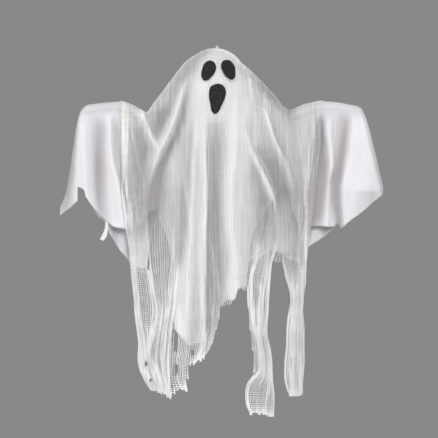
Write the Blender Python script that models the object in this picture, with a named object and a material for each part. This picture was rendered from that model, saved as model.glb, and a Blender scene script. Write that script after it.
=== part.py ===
"""Hanging ghost: a foam ball and one bent wire under a draped cloth, with a gauze over both.

Metres, +Z up, -Y to the front. The origin is the top of the knot that the ghost hangs by.
Outlines are (x, z) points seen from the front, and each cloth falls from one ridge line that
runs along both arms and over the head.
"""
import bmesh
import bpy
import numpy as np

# Foam ball and knot
BALL_RADIUS = 0.0465
BALL_SEGMENTS = 40
BALL_RINGS = 20
HEAD_X = -0.004
KNOT_RADIUS = 0.0028
KNOT_HEIGHT = 0.0034
STEM_RADIUS = 0.0011
STEM_DEPTH = 0.016
KNOT_PROFILE = [(0.62, 0.12), (1.0, 0.5), (0.72, 0.92)]

# Cloth
SHEET_THICKNESS = 0.0008
GAUZE_THICKNESS = 0.0010
FELT_THICKNESS = 0.0010
HEAD_CLEARANCE = 0.0014
ARM_CLEARANCE = 0.0009
LAYER_CLEARANCE = 0.0006
FELT_CLEARANCE = 0.0004
HOLE_CLEARANCE = 0.0006
FIT_CLEARANCE = 0.0003
COLUMN_PITCH = 0.0105
KEY_SHARE = 0.4
BRIDGE = 0.0022
BRIDGE_DROP = 0.020
BRIDGE_START = 0.3

# Wire and sleeves
WIRE_RADIUS = 0.00125
SLEEVE_RADIUS = 0.0080
WIRE_TURN = 0.006
WIRE_IN_BALL = 0.030
WIRE_DROP_SHARE = 0.62

# Routes of the wire, from each arm's end to the shoulder, and on to the ball
LEFT_ARM = [(-0.2140, -0.1075), (-0.2050, -0.1062), (-0.1776, -0.1031), (-0.1610, -0.1024),
            (-0.1444, -0.1082), (-0.1320, -0.1154), (-0.1230, -0.1205), (-0.1137, -0.1300),
            (-0.1030, -0.1365)]
LEFT_NECK = [(-0.0880, -0.1330), (-0.0700, -0.1080), (-0.0560, -0.0900)]
RIGHT_ARM = [(0.2280, -0.1085), (0.2208, -0.1072), (0.1975, -0.1030), (0.1793, -0.1019),
             (0.1690, -0.1024), (0.1577, -0.1050), (0.1477, -0.1075), (0.1378, -0.1118),
             (0.1240, -0.1172), (0.1080, -0.1185)]
RIGHT_NECK = [(0.0860, -0.1120), (0.0680, -0.0990), (0.0560, -0.0890)]
LEFT_SLEEVE = (-0.2050, -0.1480)
RIGHT_SLEEVE = (0.1520, 0.2208)

# Ridge of the sheet beyond the arm ends, and from the shoulders to the ball
LEFT_CORNER = [(-0.2600, -0.2680), (-0.2520, -0.2480), (-0.2450, -0.2100), (-0.2377, -0.1643),
               (-0.2312, -0.1260), (-0.2255, -0.1075)]
RIGHT_CORNER = [(0.2390, -0.1035), (0.2445, -0.1134), (0.2528, -0.1394), (0.2600, -0.1677),
                (0.2671, -0.1987), (0.2750, -0.2330)]
LEFT_TENT = [(-0.0955, -0.1060), (-0.0880, -0.0790), (-0.0700, -0.0525), (-0.0490, -0.0262)]
RIGHT_TENT = [(0.0880, -0.1080), (0.0700, -0.0900), (0.0530, -0.0610)]
LEFT_TANGENT = 126.0
RIGHT_TANGENT = 30.0

# Ridge of the gauze where it spans from the arms to the head
GAUZE_LEFT_TENT = [(-0.1290, -0.1120), (-0.1154, -0.1098), (-0.1013, -0.0896), (-0.0780, -0.0606),
                   (-0.0600, -0.0390)]
GAUZE_RIGHT_TENT = [(0.0330, -0.0228), (0.0548, -0.0398), (0.0714, -0.0564), (0.0986, -0.0850),
                    (0.1079, -0.0985), (0.1180, -0.1068), (0.1290, -0.1050)]
GAUZE_ENDS = (-0.1620, 0.1770)

# Half depth of the hollow body under the ball, and how far it widens
BODY_FLARE = 0.012
BODY_WIDEN = 0.45
BODY_HALF_WIDTH = 0.150
HANG_LENGTH = 0.55

# Hems as (x, z) outlines from left to right
FRONT_HEM = [(-0.2600, -0.2810), (-0.2440, -0.2690), (-0.2315, -0.2570), (-0.2308, -0.2350),
             (-0.2195, -0.2375), (-0.2180, -0.2490), (-0.2060, -0.2660), (-0.1960, -0.2790),
             (-0.1850, -0.2890), (-0.1710, -0.3010), (-0.1450, -0.3040), (-0.1270, -0.2990),
             (-0.1120, -0.2770), (-0.1010, -0.2720), (-0.0900, -0.2970), (-0.0810, -0.3220),
             (-0.0760, -0.3500), (-0.0745, -0.4300), (-0.0690, -0.4700), (-0.0450, -0.4960),
             (-0.0280, -0.4910), (-0.0120, -0.4820), (0.0000, -0.4660), (0.0020, -0.4330),
             (0.0150, -0.4210), (0.0310, -0.4190), (0.0330, -0.4010), (0.0480, -0.4000),
             (0.0560, -0.3870), (0.0710, -0.3390), (0.0850, -0.2800), (0.0980, -0.2390),
             (0.1080, -0.2260), (0.1180, -0.2420), (0.1250, -0.2780), (0.1380, -0.2960),
             (0.1540, -0.3000), (0.1940, -0.3000), (0.2000, -0.2930), (0.2060, -0.3030),
             (0.2220, -0.2900), (0.2450, -0.2720), (0.2620, -0.2560), (0.2750, -0.2450)]
BACK_HEM = [(-0.2600, -0.2810), (-0.2440, -0.2690), (-0.2315, -0.2570), (-0.2308, -0.2350),
            (-0.2195, -0.2375), (-0.2150, -0.2530), (-0.2070, -0.2700), (-0.1980, -0.2830),
            (-0.1850, -0.2920), (-0.1770, -0.3150), (-0.1610, -0.3400), (-0.1440, -0.3590),
            (-0.1300, -0.3690), (-0.1170, -0.3700), (-0.1140, -0.3400), (-0.1060, -0.2900),
            (-0.0940, -0.2760), (-0.0800, -0.2950), (-0.0700, -0.3400), (-0.0640, -0.4100),
            (-0.0450, -0.4500), (-0.0280, -0.4620), (-0.0080, -0.4480), (0.0100, -0.4130),
            (0.0360, -0.3880), (0.0560, -0.3560), (0.0740, -0.3320), (0.0960, -0.3410),
            (0.1200, -0.3470), (0.1500, -0.3350), (0.1790, -0.3160), (0.1960, -0.3010),
            (0.2000, -0.2930), (0.2090, -0.3010), (0.2250, -0.2880), (0.2450, -0.2720),
            (0.2620, -0.2560), (0.2750, -0.2450)]
GAUZE_FRONT_HEM = [(-0.1620, -0.2200), (-0.1560, -0.2560), (-0.1510, -0.2890), (-0.1478, -0.3220),
                   (-0.1440, -0.3640), (-0.1371, -0.4216), (-0.1330, -0.4510), (-0.1280, -0.5380),
                   (-0.1150, -0.5580), (-0.1095, -0.5640), (-0.0946, -0.5700), (-0.0780, -0.5800),
                   (-0.0735, -0.5560), (-0.0660, -0.5480), (-0.0580, -0.5660), (-0.0500, -0.5690),
                   (-0.0480, -0.5260), (-0.0380, -0.5230), (-0.0280, -0.5190), (-0.0199, -0.5030),
                   (-0.0116, -0.4860), (0.0008, -0.4670), (0.0025, -0.4340), (0.0150, -0.4260),
                   (0.0320, -0.4210), (0.0340, -0.4030), (0.0480, -0.4010), (0.0548, -0.3850),
                   (0.0880, -0.3570), (0.0979, -0.3528), (0.1046, -0.3570), (0.1477, -0.3570),
                   (0.1500, -0.3350), (0.1530, -0.3150), (0.1560, -0.2810), (0.1610, -0.2400),
                   (0.1660, -0.1980), (0.1710, -0.1600), (0.1770, -0.1250)]
GAUZE_BACK_HEM = [(-0.1620, -0.2200), (-0.1500, -0.2620), (-0.1300, -0.2540), (-0.1110, -0.2490),
                  (-0.0860, -0.2700), (-0.0620, -0.3250), (-0.0280, -0.3580), (0.0060, -0.3490),
                  (0.0380, -0.3380), (0.0630, -0.3560), (0.0880, -0.3400), (0.1200, -0.3500),
                  (0.1380, -0.3540), (0.1480, -0.3300), (0.1560, -0.2810), (0.1610, -0.2400),
                  (0.1660, -0.1980), (0.1710, -0.1600), (0.1770, -0.1250)]

# Torn strips, as left and right edges from the hem down, with pleats across and rows
TORN_STRIP = {"left": [(-0.1850, -0.2890), (-0.1860, -0.3020), (-0.1900, -0.3130), (-0.1945, -0.3210)],
              "right": [(-0.1800, -0.2932), (-0.1806, -0.3050), (-0.1835, -0.3170), (-0.1885, -0.3235)],
              "pleats": 0.0, "pleat_rise": 0.0, "rows": 4}
INNER_TAIL = {"left": [(0.0548, -0.3850), (0.0580, -0.4270), (0.0590, -0.4740), (0.0672, -0.5220),
                       (0.0655, -0.5380), (0.0520, -0.5550), (0.0490, -0.5900), (0.0560, -0.6050)],
              "right": [(0.0880, -0.3570), (0.0858, -0.3980), (0.0835, -0.4500), (0.0810, -0.4720),
                        (0.0890, -0.5060), (0.0922, -0.5400), (0.0940, -0.5800), (0.0925, -0.6100)],
              "pleats": 1.5, "pleat_rise": 0.004, "rows": 12}
OUTER_TAIL = {"left": [(0.1046, -0.3570), (0.1130, -0.3850), (0.1217, -0.4220), (0.1165, -0.4500),
                       (0.1150, -0.5200), (0.1150, -0.5650), (0.1190, -0.5760)],
              "right": [(0.1477, -0.3570), (0.1455, -0.3950), (0.1420, -0.4250), (0.1390, -0.4400),
                        (0.1430, -0.4600), (0.1430, -0.5300), (0.1410, -0.5745)],
              "pleats": 1.5, "pleat_rise": 0.004, "rows": 10}

# Folds: top (x, z), foot (x, z), half width at the top and foot, and rise; a valley has less than 0
FRONT_FOLDS = [((-0.005, -0.122), (-0.007, -0.420), 0.007, 0.012, -0.010),
               ((-0.022, -0.104), (-0.027, -0.455), 0.006, 0.008, 0.008),
               ((0.035, -0.104), (0.014, -0.322), 0.007, 0.009, 0.008),
               ((0.031, -0.173), (0.037, -0.397), 0.008, 0.011, 0.005),
               ((-0.056, -0.084), (-0.098, -0.198), 0.006, 0.009, 0.007),
               ((-0.048, -0.110), (-0.080, -0.230), 0.006, 0.009, -0.007),
               ((-0.040, -0.123), (-0.051, -0.455), 0.006, 0.008, 0.006),
               ((0.050, -0.112), (0.087, -0.239), 0.006, 0.007, 0.007),
               ((0.076, -0.118), (0.112, -0.193), 0.006, 0.008, 0.005),
               ((0.060, -0.170), (0.064, -0.300), 0.007, 0.010, 0.004),
               ((-0.219, -0.124), (-0.219, -0.236), 0.008, 0.010, 0.006),
               ((-0.196, -0.124), (-0.196, -0.236), 0.008, 0.010, -0.005),
               ((-0.178, -0.120), (-0.161, -0.256), 0.006, 0.008, 0.007),
               ((-0.134, -0.132), (-0.124, -0.280), 0.007, 0.009, 0.005),
               ((0.234, -0.120), (0.238, -0.256), 0.012, 0.018, 0.006),
               ((0.210, -0.122), (0.201, -0.281), 0.007, 0.009, -0.006),
               ((0.187, -0.120), (0.179, -0.292), 0.008, 0.010, 0.005),
               ((0.162, -0.130), (0.156, -0.285), 0.007, 0.008, -0.004)]
BACK_FOLDS = [((0.004, -0.105), (0.006, -0.430), 0.008, 0.011, 0.007),
              ((-0.030, -0.112), (-0.040, -0.440), 0.007, 0.010, 0.006),
              ((0.036, -0.108), (0.050, -0.360), 0.007, 0.010, 0.006),
              ((-0.060, -0.110), (-0.088, -0.260), 0.007, 0.010, 0.006),
              ((0.070, -0.118), (0.108, -0.300), 0.007, 0.010, 0.006),
              ((-0.150, -0.124), (-0.140, -0.330), 0.008, 0.010, 0.006),
              ((-0.185, -0.124), (-0.180, -0.280), 0.007, 0.010, -0.004),
              ((-0.212, -0.124), (-0.216, -0.240), 0.008, 0.010, 0.004),
              ((0.160, -0.124), (0.156, -0.310), 0.008, 0.010, 0.006),
              ((0.195, -0.124), (0.198, -0.290), 0.007, 0.009, -0.004),
              ((0.228, -0.124), (0.236, -0.260), 0.010, 0.014, 0.005)]
GAUZE_FOLDS = [((-0.152, -0.110), (-0.136, -0.422), 0.006, 0.007, 0.005),
               ((-0.108, -0.330), (-0.100, -0.447), 0.006, 0.007, 0.005),
               ((-0.074, -0.340), (-0.087, -0.496), 0.006, 0.008, 0.005),
               ((0.166, -0.110), (0.146, -0.340), 0.006, 0.007, 0.005),
               ((0.136, -0.130), (0.130, -0.330), 0.007, 0.008, 0.004)]
FOLD_START = 0.22
CROWN_SHARE = 0.22
LEAST_HALF_DEPTH = 0.0032
LEAST_HEIGHT = 0.004
LEAST_ROOM = 0.001
LEAST_SPAN = 0.0001
RISE_TOLERANCE = 0.00001
ARM_BEND = 1.2
BEND_SHARE = 0.45
SHOULDER_START = 0.9
CROWN_ARC_SHARE = 0.8
PLEAT_START = 0.3

# Open places in the gauze, as (left x, right x, top z, bottom z), each cut into a net of gaps
OPEN_WEAVE = [(-0.140, -0.080, -0.285, -0.500), (0.046, 0.108, -0.030, -0.110),
              (0.074, 0.134, -0.235, -0.345), (-0.052, -0.028, -0.490, -0.520)]
NET_BORDER = 0.0020
LEAST_CELL = 0.0052

# Face patches, as closed outlines seen from the front
LEFT_EYE = [(-0.0249, -0.0548), (-0.0243, -0.0398), (-0.0185, -0.0293), (-0.0116, -0.0266),
            (-0.0050, -0.0291), (-0.0015, -0.0365), (-0.0025, -0.0448), (-0.0083, -0.0531),
            (-0.0149, -0.0591), (-0.0216, -0.0598)]
RIGHT_EYE = [(0.0066, -0.0349), (0.0100, -0.0274), (0.0158, -0.0250), (0.0232, -0.0277),
             (0.0291, -0.0357), (0.0304, -0.0465), (0.0291, -0.0556), (0.0241, -0.0586),
             (0.0166, -0.0548), (0.0100, -0.0457)]
MOUTH = [(-0.0131, -0.0813), (-0.0108, -0.0706), (-0.0033, -0.0661), (0.0033, -0.0654),
         (0.0108, -0.0689), (0.0149, -0.0780), (0.0133, -0.0880), (0.0075, -0.1013),
         (0.0008, -0.1129), (-0.0033, -0.1149), (-0.0075, -0.1120), (-0.0108, -0.0996)]

# Grid counts, with rows as (round rows under the ridge, even rows down to the hem)
FRONT_ROWS = (5, 7)
BACK_ROWS = (5, 4)
GAUZE_FRONT_ROWS = (5, 11)
GAUZE_BACK_ROWS = (5, 3)
RIDGE_SAMPLES = 900
HEAD_ARC_POINTS = 9
PATCH_SEGMENTS = 22
PATCH_RINGS = 3
WIRE_SIDES = 8
WIRE_SPAN_STEPS = 3
SLEEVE_SIDES = 16
CUTTER_SIDES = 16
KNOT_SIDES = 12
CUTTER_TOP = 0.010
CUTTER_REACH = 1.2
TILT_STEP = 0.0005
MERGE = 1e-6

# Sizes worked out from the ones above
KNOT_BASE = -KNOT_HEIGHT
GAUZE_HEAD_RADIUS = (BALL_RADIUS + HEAD_CLEARANCE + SHEET_THICKNESS
                     + LAYER_CLEARANCE + GAUZE_THICKNESS / 2)
SHEET_HEAD_RADIUS = BALL_RADIUS + HEAD_CLEARANCE + SHEET_THICKNESS / 2
HEAD_Z = KNOT_BASE - FIT_CLEARANCE - GAUZE_THICKNESS / 2 - GAUZE_HEAD_RADIUS
ARM_COVER = SLEEVE_RADIUS + ARM_CLEARANCE + SHEET_THICKNESS / 2
LAYER_STEP = GAUZE_HEAD_RADIUS - SHEET_HEAD_RADIUS
WIRE_BALL_Z = HEAD_Z - BALL_RADIUS * WIRE_DROP_SHARE


def clear_scene():
    for item in list(bpy.data.objects):
        bpy.data.objects.remove(item, do_unlink=True)


def material(name, colour, roughness, metallic=0.0):
    """One Principled material of a plain colour."""
    made = bpy.data.materials.new(name)
    made.use_nodes = True
    shader = made.node_tree.nodes["Principled BSDF"]
    shader.inputs["Base Color"].default_value = (*colour, 1.0)
    shader.inputs["Roughness"].default_value = roughness
    shader.inputs["Metallic"].default_value = metallic
    return made


def smooth_line(points, per_span=12):
    """Cubic curve through the points, with slopes from their neighbours."""
    points = np.asarray(points, float)
    step = np.linalg.norm(np.diff(points, axis=0), axis=1)
    along = np.concatenate([[0.0], np.cumsum(step)])
    slope = np.gradient(points, along, axis=0)
    local = np.linspace(0.0, 1.0, per_span, endpoint=False)
    runs = []
    for k, length in enumerate(step):
        t = local[:, None]
        runs.append(points[k] * (2 * t**3 - 3 * t**2 + 1) + points[k + 1] * (3 * t**2 - 2 * t**3)
                    + slope[k] * length * (t**3 - 2 * t**2 + t)
                    + slope[k + 1] * length * (t**3 - t**2))
    return np.vstack(runs + [points[-1:]])


def closed_line(points, count):
    """Closed cubic curve through the points, at equal steps along it."""
    wrapped = points[-3:] + points + points[:3]
    curve = smooth_line(wrapped)[3 * 12:-2 * 12]
    along = np.concatenate([[0.0], np.cumsum(np.linalg.norm(np.diff(curve, axis=0), axis=1))])
    at = np.linspace(0.0, along[-1], count, endpoint=False)
    return np.stack([np.interp(at, along, curve[:, 0]), np.interp(at, along, curve[:, 1])], axis=1)


def quarter(q):
    """Quarter circle: 0 at 0, rising to 1 at 1 and beyond."""
    return np.sqrt(1.0 - (1.0 - np.clip(q, 0.0, 1.0)) ** 2)


def ease(q):
    """Smooth step from 0 to 1."""
    q = np.clip(q, 0.0, 1.0)
    return q * q * (3.0 - 2.0 * q)


def raised(route, cover):
    """The route's points moved up across it by the cover."""
    x, z = np.array(route).T
    slope = np.gradient(z, x)
    lean = np.sqrt(1.0 + slope**2)
    return list(zip(x - cover * slope / lean, z + cover / lean))


def head_arc(radius):
    """Points on the circle of the covered ball, from the left tangent to the right one."""
    angles = np.radians(np.linspace(LEFT_TANGENT, RIGHT_TANGENT, HEAD_ARC_POINTS))
    return [(HEAD_X + radius * np.cos(a), HEAD_Z + radius * np.sin(a)) for a in angles]


class Drape:
    """One cloth's ridge line and its half depth in front of or behind the middle plane."""

    def __init__(self, ridge_x, ridge_z, head_radius, arm_radius):
        self.x = ridge_x
        self.z = ridge_z
        self.head_radius = head_radius
        self.arm_radius = arm_radius
        slope = np.gradient(ridge_z, ridge_x)
        self.lean = 1.0 / np.sqrt(1.0 + slope**2)
        crown = int(np.argmin(np.abs(ridge_x - HEAD_X)))
        self.left = self.half_width(ridge_x[crown::-1], ridge_z[crown::-1])
        self.right = self.half_width(ridge_x[crown:], ridge_z[crown:])

    @staticmethod
    def half_width(xs, zs):
        """Half width of the head and its tent at each height, down to the shoulder's lowest point."""
        falling = np.minimum.accumulate(zs)
        low = int(np.argmax(zs > falling + RISE_TOLERANCE)) or len(zs)
        return zs[:low], np.abs(xs[:low] - HEAD_X)

    def top(self, x):
        return np.interp(x, self.x, self.z)

    def body_half_width(self, side, z):
        """Tent's half width, widening below the shoulder up to the body's own."""
        heights, widths = side
        tent = np.interp(z, heights[::-1], widths[::-1])
        below = np.maximum(heights[-1] - z, 0.0)
        room = np.maximum(BODY_HALF_WIDTH - widths[-1], LEAST_ROOM)
        return tent + room * (1.0 - np.exp(-below * BODY_WIDEN / room))

    def depth(self, x, z):
        """Union of an ellipse round the head and body, and of the round arms."""
        across = x - HEAD_X
        half = np.where(across < 0.0, self.body_half_width(self.left, z),
                        self.body_half_width(self.right, z))
        above = np.maximum(self.head_radius**2 - (z - HEAD_Z) ** 2, 0.0)
        below = self.head_radius + BODY_FLARE * np.maximum(HEAD_Z - z, 0.0) / HANG_LENGTH
        half_depth = np.where(z > HEAD_Z, np.sqrt(above), below)
        body = half_depth * np.sqrt(np.maximum(1.0 - (across / np.maximum(half, LEAST_SPAN)) ** 2, 0.0))
        drop = np.maximum(self.top(x) - z, 0.0) * np.interp(x, self.x, self.lean)
        on_arm = CROWN_SHARE + (1.0 - CROWN_SHARE) * ease(np.abs(across) / self.head_radius - SHOULDER_START)
        radius = self.arm_radius * on_arm
        arm = radius * quarter(drop / radius)
        return np.cbrt(body**3 + arm**3)


def fold_rise(x, z, folds, ridges_only=False):
    """Sum of the folds: each a bell across its line, growing along the line's first part."""
    total = np.zeros_like(x)
    for (x0, z0), (x1, z1), w0, w1, rise in folds:
        if ridges_only and rise < 0.0:
            continue
        along = np.clip((z0 - z) / (z0 - z1), 0.0, 1.0)
        width = w0 + (w1 - w0) * along
        centre = x0 + (x1 - x0) * along
        total += rise * ease(along / FOLD_START) * np.exp(-((x - centre) / width) ** 2)
    return total


def sheet_ridge():
    """Sheet's ridge line: hanging corners, covered arms, tents and the top of the head."""
    points = (LEFT_CORNER + raised(LEFT_ARM, ARM_COVER) + LEFT_TENT + head_arc(SHEET_HEAD_RADIUS)
              + RIGHT_TENT[::-1] + raised(RIGHT_ARM[::-1], ARM_COVER) + RIGHT_CORNER)
    line = smooth_line(points)
    return line[:, 0], line[:, 1]


def gauze_ridge(sheet_x, sheet_z):
    """Gauze's ridge line: one layer above the sheet's, or along its own tents where higher."""
    x = np.linspace(*GAUZE_ENDS, RIDGE_SAMPLES)
    slope = np.interp(x, sheet_x, np.gradient(sheet_z, sheet_x))
    lifted = np.interp(x, sheet_x, sheet_z) + LAYER_STEP * np.sqrt(1.0 + slope**2)
    arc = np.sqrt(np.maximum(GAUZE_HEAD_RADIUS**2 - (x - HEAD_X) ** 2, 0.0)) + HEAD_Z
    high = np.where(np.abs(x - HEAD_X) < GAUZE_HEAD_RADIUS * CROWN_ARC_SHARE, arc, lifted)
    for tent in (GAUZE_LEFT_TENT, GAUZE_RIGHT_TENT):
        tx, tz = np.array(tent).T
        high = np.maximum(high, np.where((x >= tx[0]) & (x <= tx[-1]), np.interp(x, tx, tz), -1.0))
    return x, np.maximum(lifted, high)


def columns(ridge_x, ridge_z, keys):
    """Column places at equal steps along the ridge, except close to the keys, and at each key."""
    along = np.concatenate([[0.0], np.cumsum(np.hypot(np.diff(ridge_x), np.diff(ridge_z)))])
    count = int(round(along[-1] / COLUMN_PITCH)) + 1
    steps = np.linspace(0.0, along[-1], count)
    key_steps = np.interp(keys, ridge_x, along)
    clear = np.abs(steps[:, None] - key_steps[None, :]).min(axis=1) > COLUMN_PITCH * KEY_SHARE
    places = np.interp(steps[clear], along, ridge_x)
    return np.unique(np.round(np.concatenate([places, keys]), 7))


def face_grid(drape, places, hem, rows, depth_at, side):
    """Grid that falls from the ridge to the hem: round rows first, then even ones."""
    round_rows, even_rows = rows
    top = drape.top(places)
    low = np.interp(places, *np.array(hem).T)
    height = np.maximum(top - low, LEAST_HEIGHT)
    across = np.abs(places - HEAD_X)
    ball = np.sqrt(np.maximum(drape.head_radius**2 - across**2, 0.0))
    bend = np.maximum(ball, drape.arm_radius * ARM_BEND)
    bend = np.minimum(bend, height * BEND_SHARE)
    turn = np.linspace(0.0, np.pi / 2, round_rows + 1)[:, None]
    fall = np.linspace(0.0, 1.0, even_rows + 1)[1:, None]
    drop = np.vstack([bend * (1.0 - np.cos(turn)), bend + (height - bend) * fall])
    x = np.broadcast_to(places, drop.shape)
    z = top - drop
    y = side * depth_at(x, z)
    y[0] = 0.0
    return np.stack([x, y, z], axis=2)


def quads(first, across, down):
    """Faces of a grid whose first corner is number first, wound to look at the front."""
    corner = first + np.arange(down)[:, None] * (across + 1) + np.arange(across)
    return np.stack([corner, corner + across + 1, corner + across + 2, corner + 1], axis=2).reshape(-1, 4)


def tail_grid(tail, places, depth_at, top_z):
    """Strip that hangs from the hem, between its own two edges, pleated across."""
    left = smooth_line(tail["left"])
    right = smooth_line(tail["right"])
    share = np.linspace(0.0, 1.0, tail["rows"] + 1)
    along_left = np.linspace(0.0, 1.0, len(left))
    along_right = np.linspace(0.0, 1.0, len(right))
    across = (places - places[0]) / (places[-1] - places[0])
    edge_l = np.stack([np.interp(share, along_left, left[:, k]) for k in (0, 1)], axis=1)
    edge_r = np.stack([np.interp(share, along_right, right[:, k]) for k in (0, 1)], axis=1)
    flat = edge_l[:, None, :] * (1.0 - across[None, :, None]) + edge_r[:, None, :] * across[None, :, None]
    x = flat[..., 0]
    z = flat[..., 1]
    x[0] = places
    z[0] = top_z
    hung = depth_at(places, top_z)[None, :]
    wave = tail["pleat_rise"] * np.cos(2.0 * np.pi * tail["pleats"] * across)[None, :]
    y = -(hung + wave * ease(share / PLEAT_START)[:, None])
    return np.stack([x, y, z], axis=2)


def cloth_mesh(name, front, back, tails):
    """Front and back grids joined along the ridge, with the tails joined at the front hem."""
    down, across = front.shape[0] - 1, front.shape[1] - 1
    points = [front.reshape(-1, 3)]
    faces = [quads(0, across, down)]
    count = len(points[0])
    behind = quads(count, across, back.shape[0] - 1)[:, ::-1]
    points.append(back.reshape(-1, 3))
    faces.append(behind)
    count += len(points[1])
    for grid in tails:
        faces.append(quads(count, grid.shape[1] - 1, grid.shape[0] - 1))
        points.append(grid.reshape(-1, 3))
        count += len(points[-1])
    mesh = bpy.data.meshes.new(name)
    mesh.from_pydata(np.vstack(points).tolist(), [], np.vstack(faces).tolist())
    shape = bmesh.new()
    shape.from_mesh(mesh)
    bmesh.ops.remove_doubles(shape, verts=shape.verts, dist=MERGE)
    shape.to_mesh(mesh)
    shape.free()
    return mesh


def cut_net(mesh, windows):
    """Gap in each front face of the windows, with a border of cloth round it."""
    shape = bmesh.new()
    shape.from_mesh(mesh)
    shape.faces.ensure_lookup_table()
    chosen = []
    for face in shape.faces:
        centre = face.calc_center_median()
        inside = any(a < centre.x < b and low < centre.z < high for a, b, high, low in windows)
        narrow = min(edge.calc_length() for edge in face.edges) < LEAST_CELL
        if inside and centre.y < 0.0 and not narrow:
            chosen.append(face)
    bmesh.ops.inset_individual(shape, faces=chosen, thickness=NET_BORDER)
    bmesh.ops.delete(shape, geom=chosen, context="FACES")
    shape.to_mesh(mesh)
    shape.free()


def add_object(name, mesh, finish):
    made = bpy.data.objects.new(name, mesh)
    bpy.context.collection.objects.link(made)
    mesh.materials.append(finish)
    return made


def thicken(piece, thickness):
    modifier = piece.modifiers.new("thickness", "SOLIDIFY")
    modifier.thickness = thickness
    modifier.offset = 0.0


def cutter(name, radius, base, top, axis="Z", x=0.0):
    """Round cutter, along Z at x between two heights, or along X through the ball."""
    shape = bmesh.new()
    bmesh.ops.create_cone(shape, cap_ends=True, segments=CUTTER_SIDES, radius1=radius,
                          radius2=radius, depth=top - base)
    mesh = bpy.data.meshes.new(name)
    shape.to_mesh(mesh)
    shape.free()
    made = bpy.data.objects.new(name, mesh)
    bpy.context.collection.objects.link(made)
    made.location = (x, 0.0, (top + base) / 2)
    if axis == "X":
        made.rotation_euler = (0.0, np.pi / 2, 0.0)
        made.location = ((top + base) / 2, 0.0, WIRE_BALL_Z)
    made.hide_render = True
    made.display_type = "WIRE"
    return made


def cut(piece, tool):
    modifier = piece.modifiers.new("cut_" + tool.name, "BOOLEAN")
    modifier.operation = "DIFFERENCE"
    modifier.object = tool


def tube(name, route, radius, sides, finish, hole=0.0):
    """Round tube along a route in the plane y = 0, hollow where a hole radius is given."""
    route = np.asarray(route, float)
    along = np.gradient(route, axis=0)
    along /= np.linalg.norm(along, axis=1)[:, None]
    turn = np.arange(sides) / sides * 2.0 * np.pi
    up = np.stack([-along[:, 1], along[:, 0]], axis=1)

    def ring(r):
        x = route[:, None, 0] + r * np.cos(turn) * up[:, None, 0]
        z = route[:, None, 1] + r * np.cos(turn) * up[:, None, 1]
        y = np.broadcast_to(r * np.sin(turn), x.shape)
        return np.stack([x, y, z], axis=2).reshape(-1, 3)

    stations = len(route)
    index = np.arange(stations * sides).reshape(stations, sides)
    beside = np.roll(index, -1, axis=1)
    wall = np.stack([index[:-1], beside[:-1], beside[1:], index[1:]], axis=2).reshape(-1, 4)
    points = [ring(radius)]
    faces = wall.tolist()
    if hole:
        points.append(ring(hole))
        inner = stations * sides
        faces += (wall[:, ::-1] + inner).tolist()
        for end, step in ((0, 1), (stations - 1, -1)):
            outer_ring, outer_next = index[end][::step], beside[end][::step]
            faces += np.stack([outer_next, outer_ring, outer_ring + inner, outer_next + inner],
                              axis=1).tolist()
    else:
        faces.append(index[0][::-1].tolist())
        faces.append(index[-1].tolist())
    mesh = bpy.data.meshes.new(name)
    mesh.from_pydata(np.vstack(points).tolist(), [], faces)
    made = add_object(name, mesh, finish)
    shape = bmesh.new()
    shape.from_mesh(mesh)
    bmesh.ops.recalc_face_normals(shape, faces=shape.faces)
    shape.to_mesh(mesh)
    shape.free()
    return made


def patch(name, outline, depth_at, finish):
    """Felt patch: rings from its middle to its outline, laid on the gauze."""
    edge = closed_line(outline, PATCH_SEGMENTS)
    middle = edge.mean(axis=0)
    share = np.linspace(0.0, 1.0, PATCH_RINGS + 1)[1:]
    flat = middle + share[:, None, None] * (edge - middle)[None]
    x = np.concatenate([[middle[0]], flat[..., 0].ravel()])
    z = np.concatenate([[middle[1]], flat[..., 1].ravel()])
    tilt_x = (depth_at(x + TILT_STEP, z) - depth_at(x - TILT_STEP, z)) / (2 * TILT_STEP)
    tilt_z = (depth_at(x, z + TILT_STEP) - depth_at(x, z - TILT_STEP)) / (2 * TILT_STEP)
    stand = GAUZE_THICKNESS / 2 + FELT_CLEARANCE + FELT_THICKNESS / 2
    y = -(depth_at(x, z) + stand * np.sqrt(1.0 + tilt_x**2 + tilt_z**2))
    index = 1 + np.arange(PATCH_RINGS * PATCH_SEGMENTS).reshape(PATCH_RINGS, PATCH_SEGMENTS)
    beside = np.roll(index, -1, axis=1)
    faces = [[0, b, a] for a, b in zip(index[0].tolist(), beside[0].tolist())]
    faces += np.stack([index[:-1], beside[:-1], beside[1:], index[1:]], axis=2).reshape(-1, 4).tolist()
    mesh = bpy.data.meshes.new(name)
    mesh.from_pydata(np.stack([x, y, z], axis=1).tolist(), [], faces)
    made = add_object(name, mesh, finish)
    shape = bmesh.new()
    shape.from_mesh(mesh)
    bmesh.ops.recalc_face_normals(shape, faces=shape.faces)
    shape.to_mesh(mesh)
    shape.free()
    thicken(made, FELT_THICKNESS)
    return made


def make_ball(finish):
    """Foam ball with a bore for the wire and a blind hole for the knot's stem."""
    shape = bmesh.new()
    bmesh.ops.create_uvsphere(shape, u_segments=BALL_SEGMENTS, v_segments=BALL_RINGS,
                              radius=BALL_RADIUS)
    bmesh.ops.translate(shape, verts=shape.verts, vec=(HEAD_X, 0.0, HEAD_Z))
    mesh = bpy.data.meshes.new("head_ball")
    shape.to_mesh(mesh)
    shape.free()
    ball = add_object("head_ball", mesh, finish)
    cut(ball, cutter("wire_bore", WIRE_RADIUS + FIT_CLEARANCE, HEAD_X - BALL_RADIUS * CUTTER_REACH,
                     HEAD_X + BALL_RADIUS * CUTTER_REACH, axis="X"))
    cut(ball, cutter("stem_hole", STEM_RADIUS + FIT_CLEARANCE,
                     KNOT_BASE - STEM_DEPTH - FIT_CLEARANCE * 2, CUTTER_TOP))
    return ball


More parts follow.
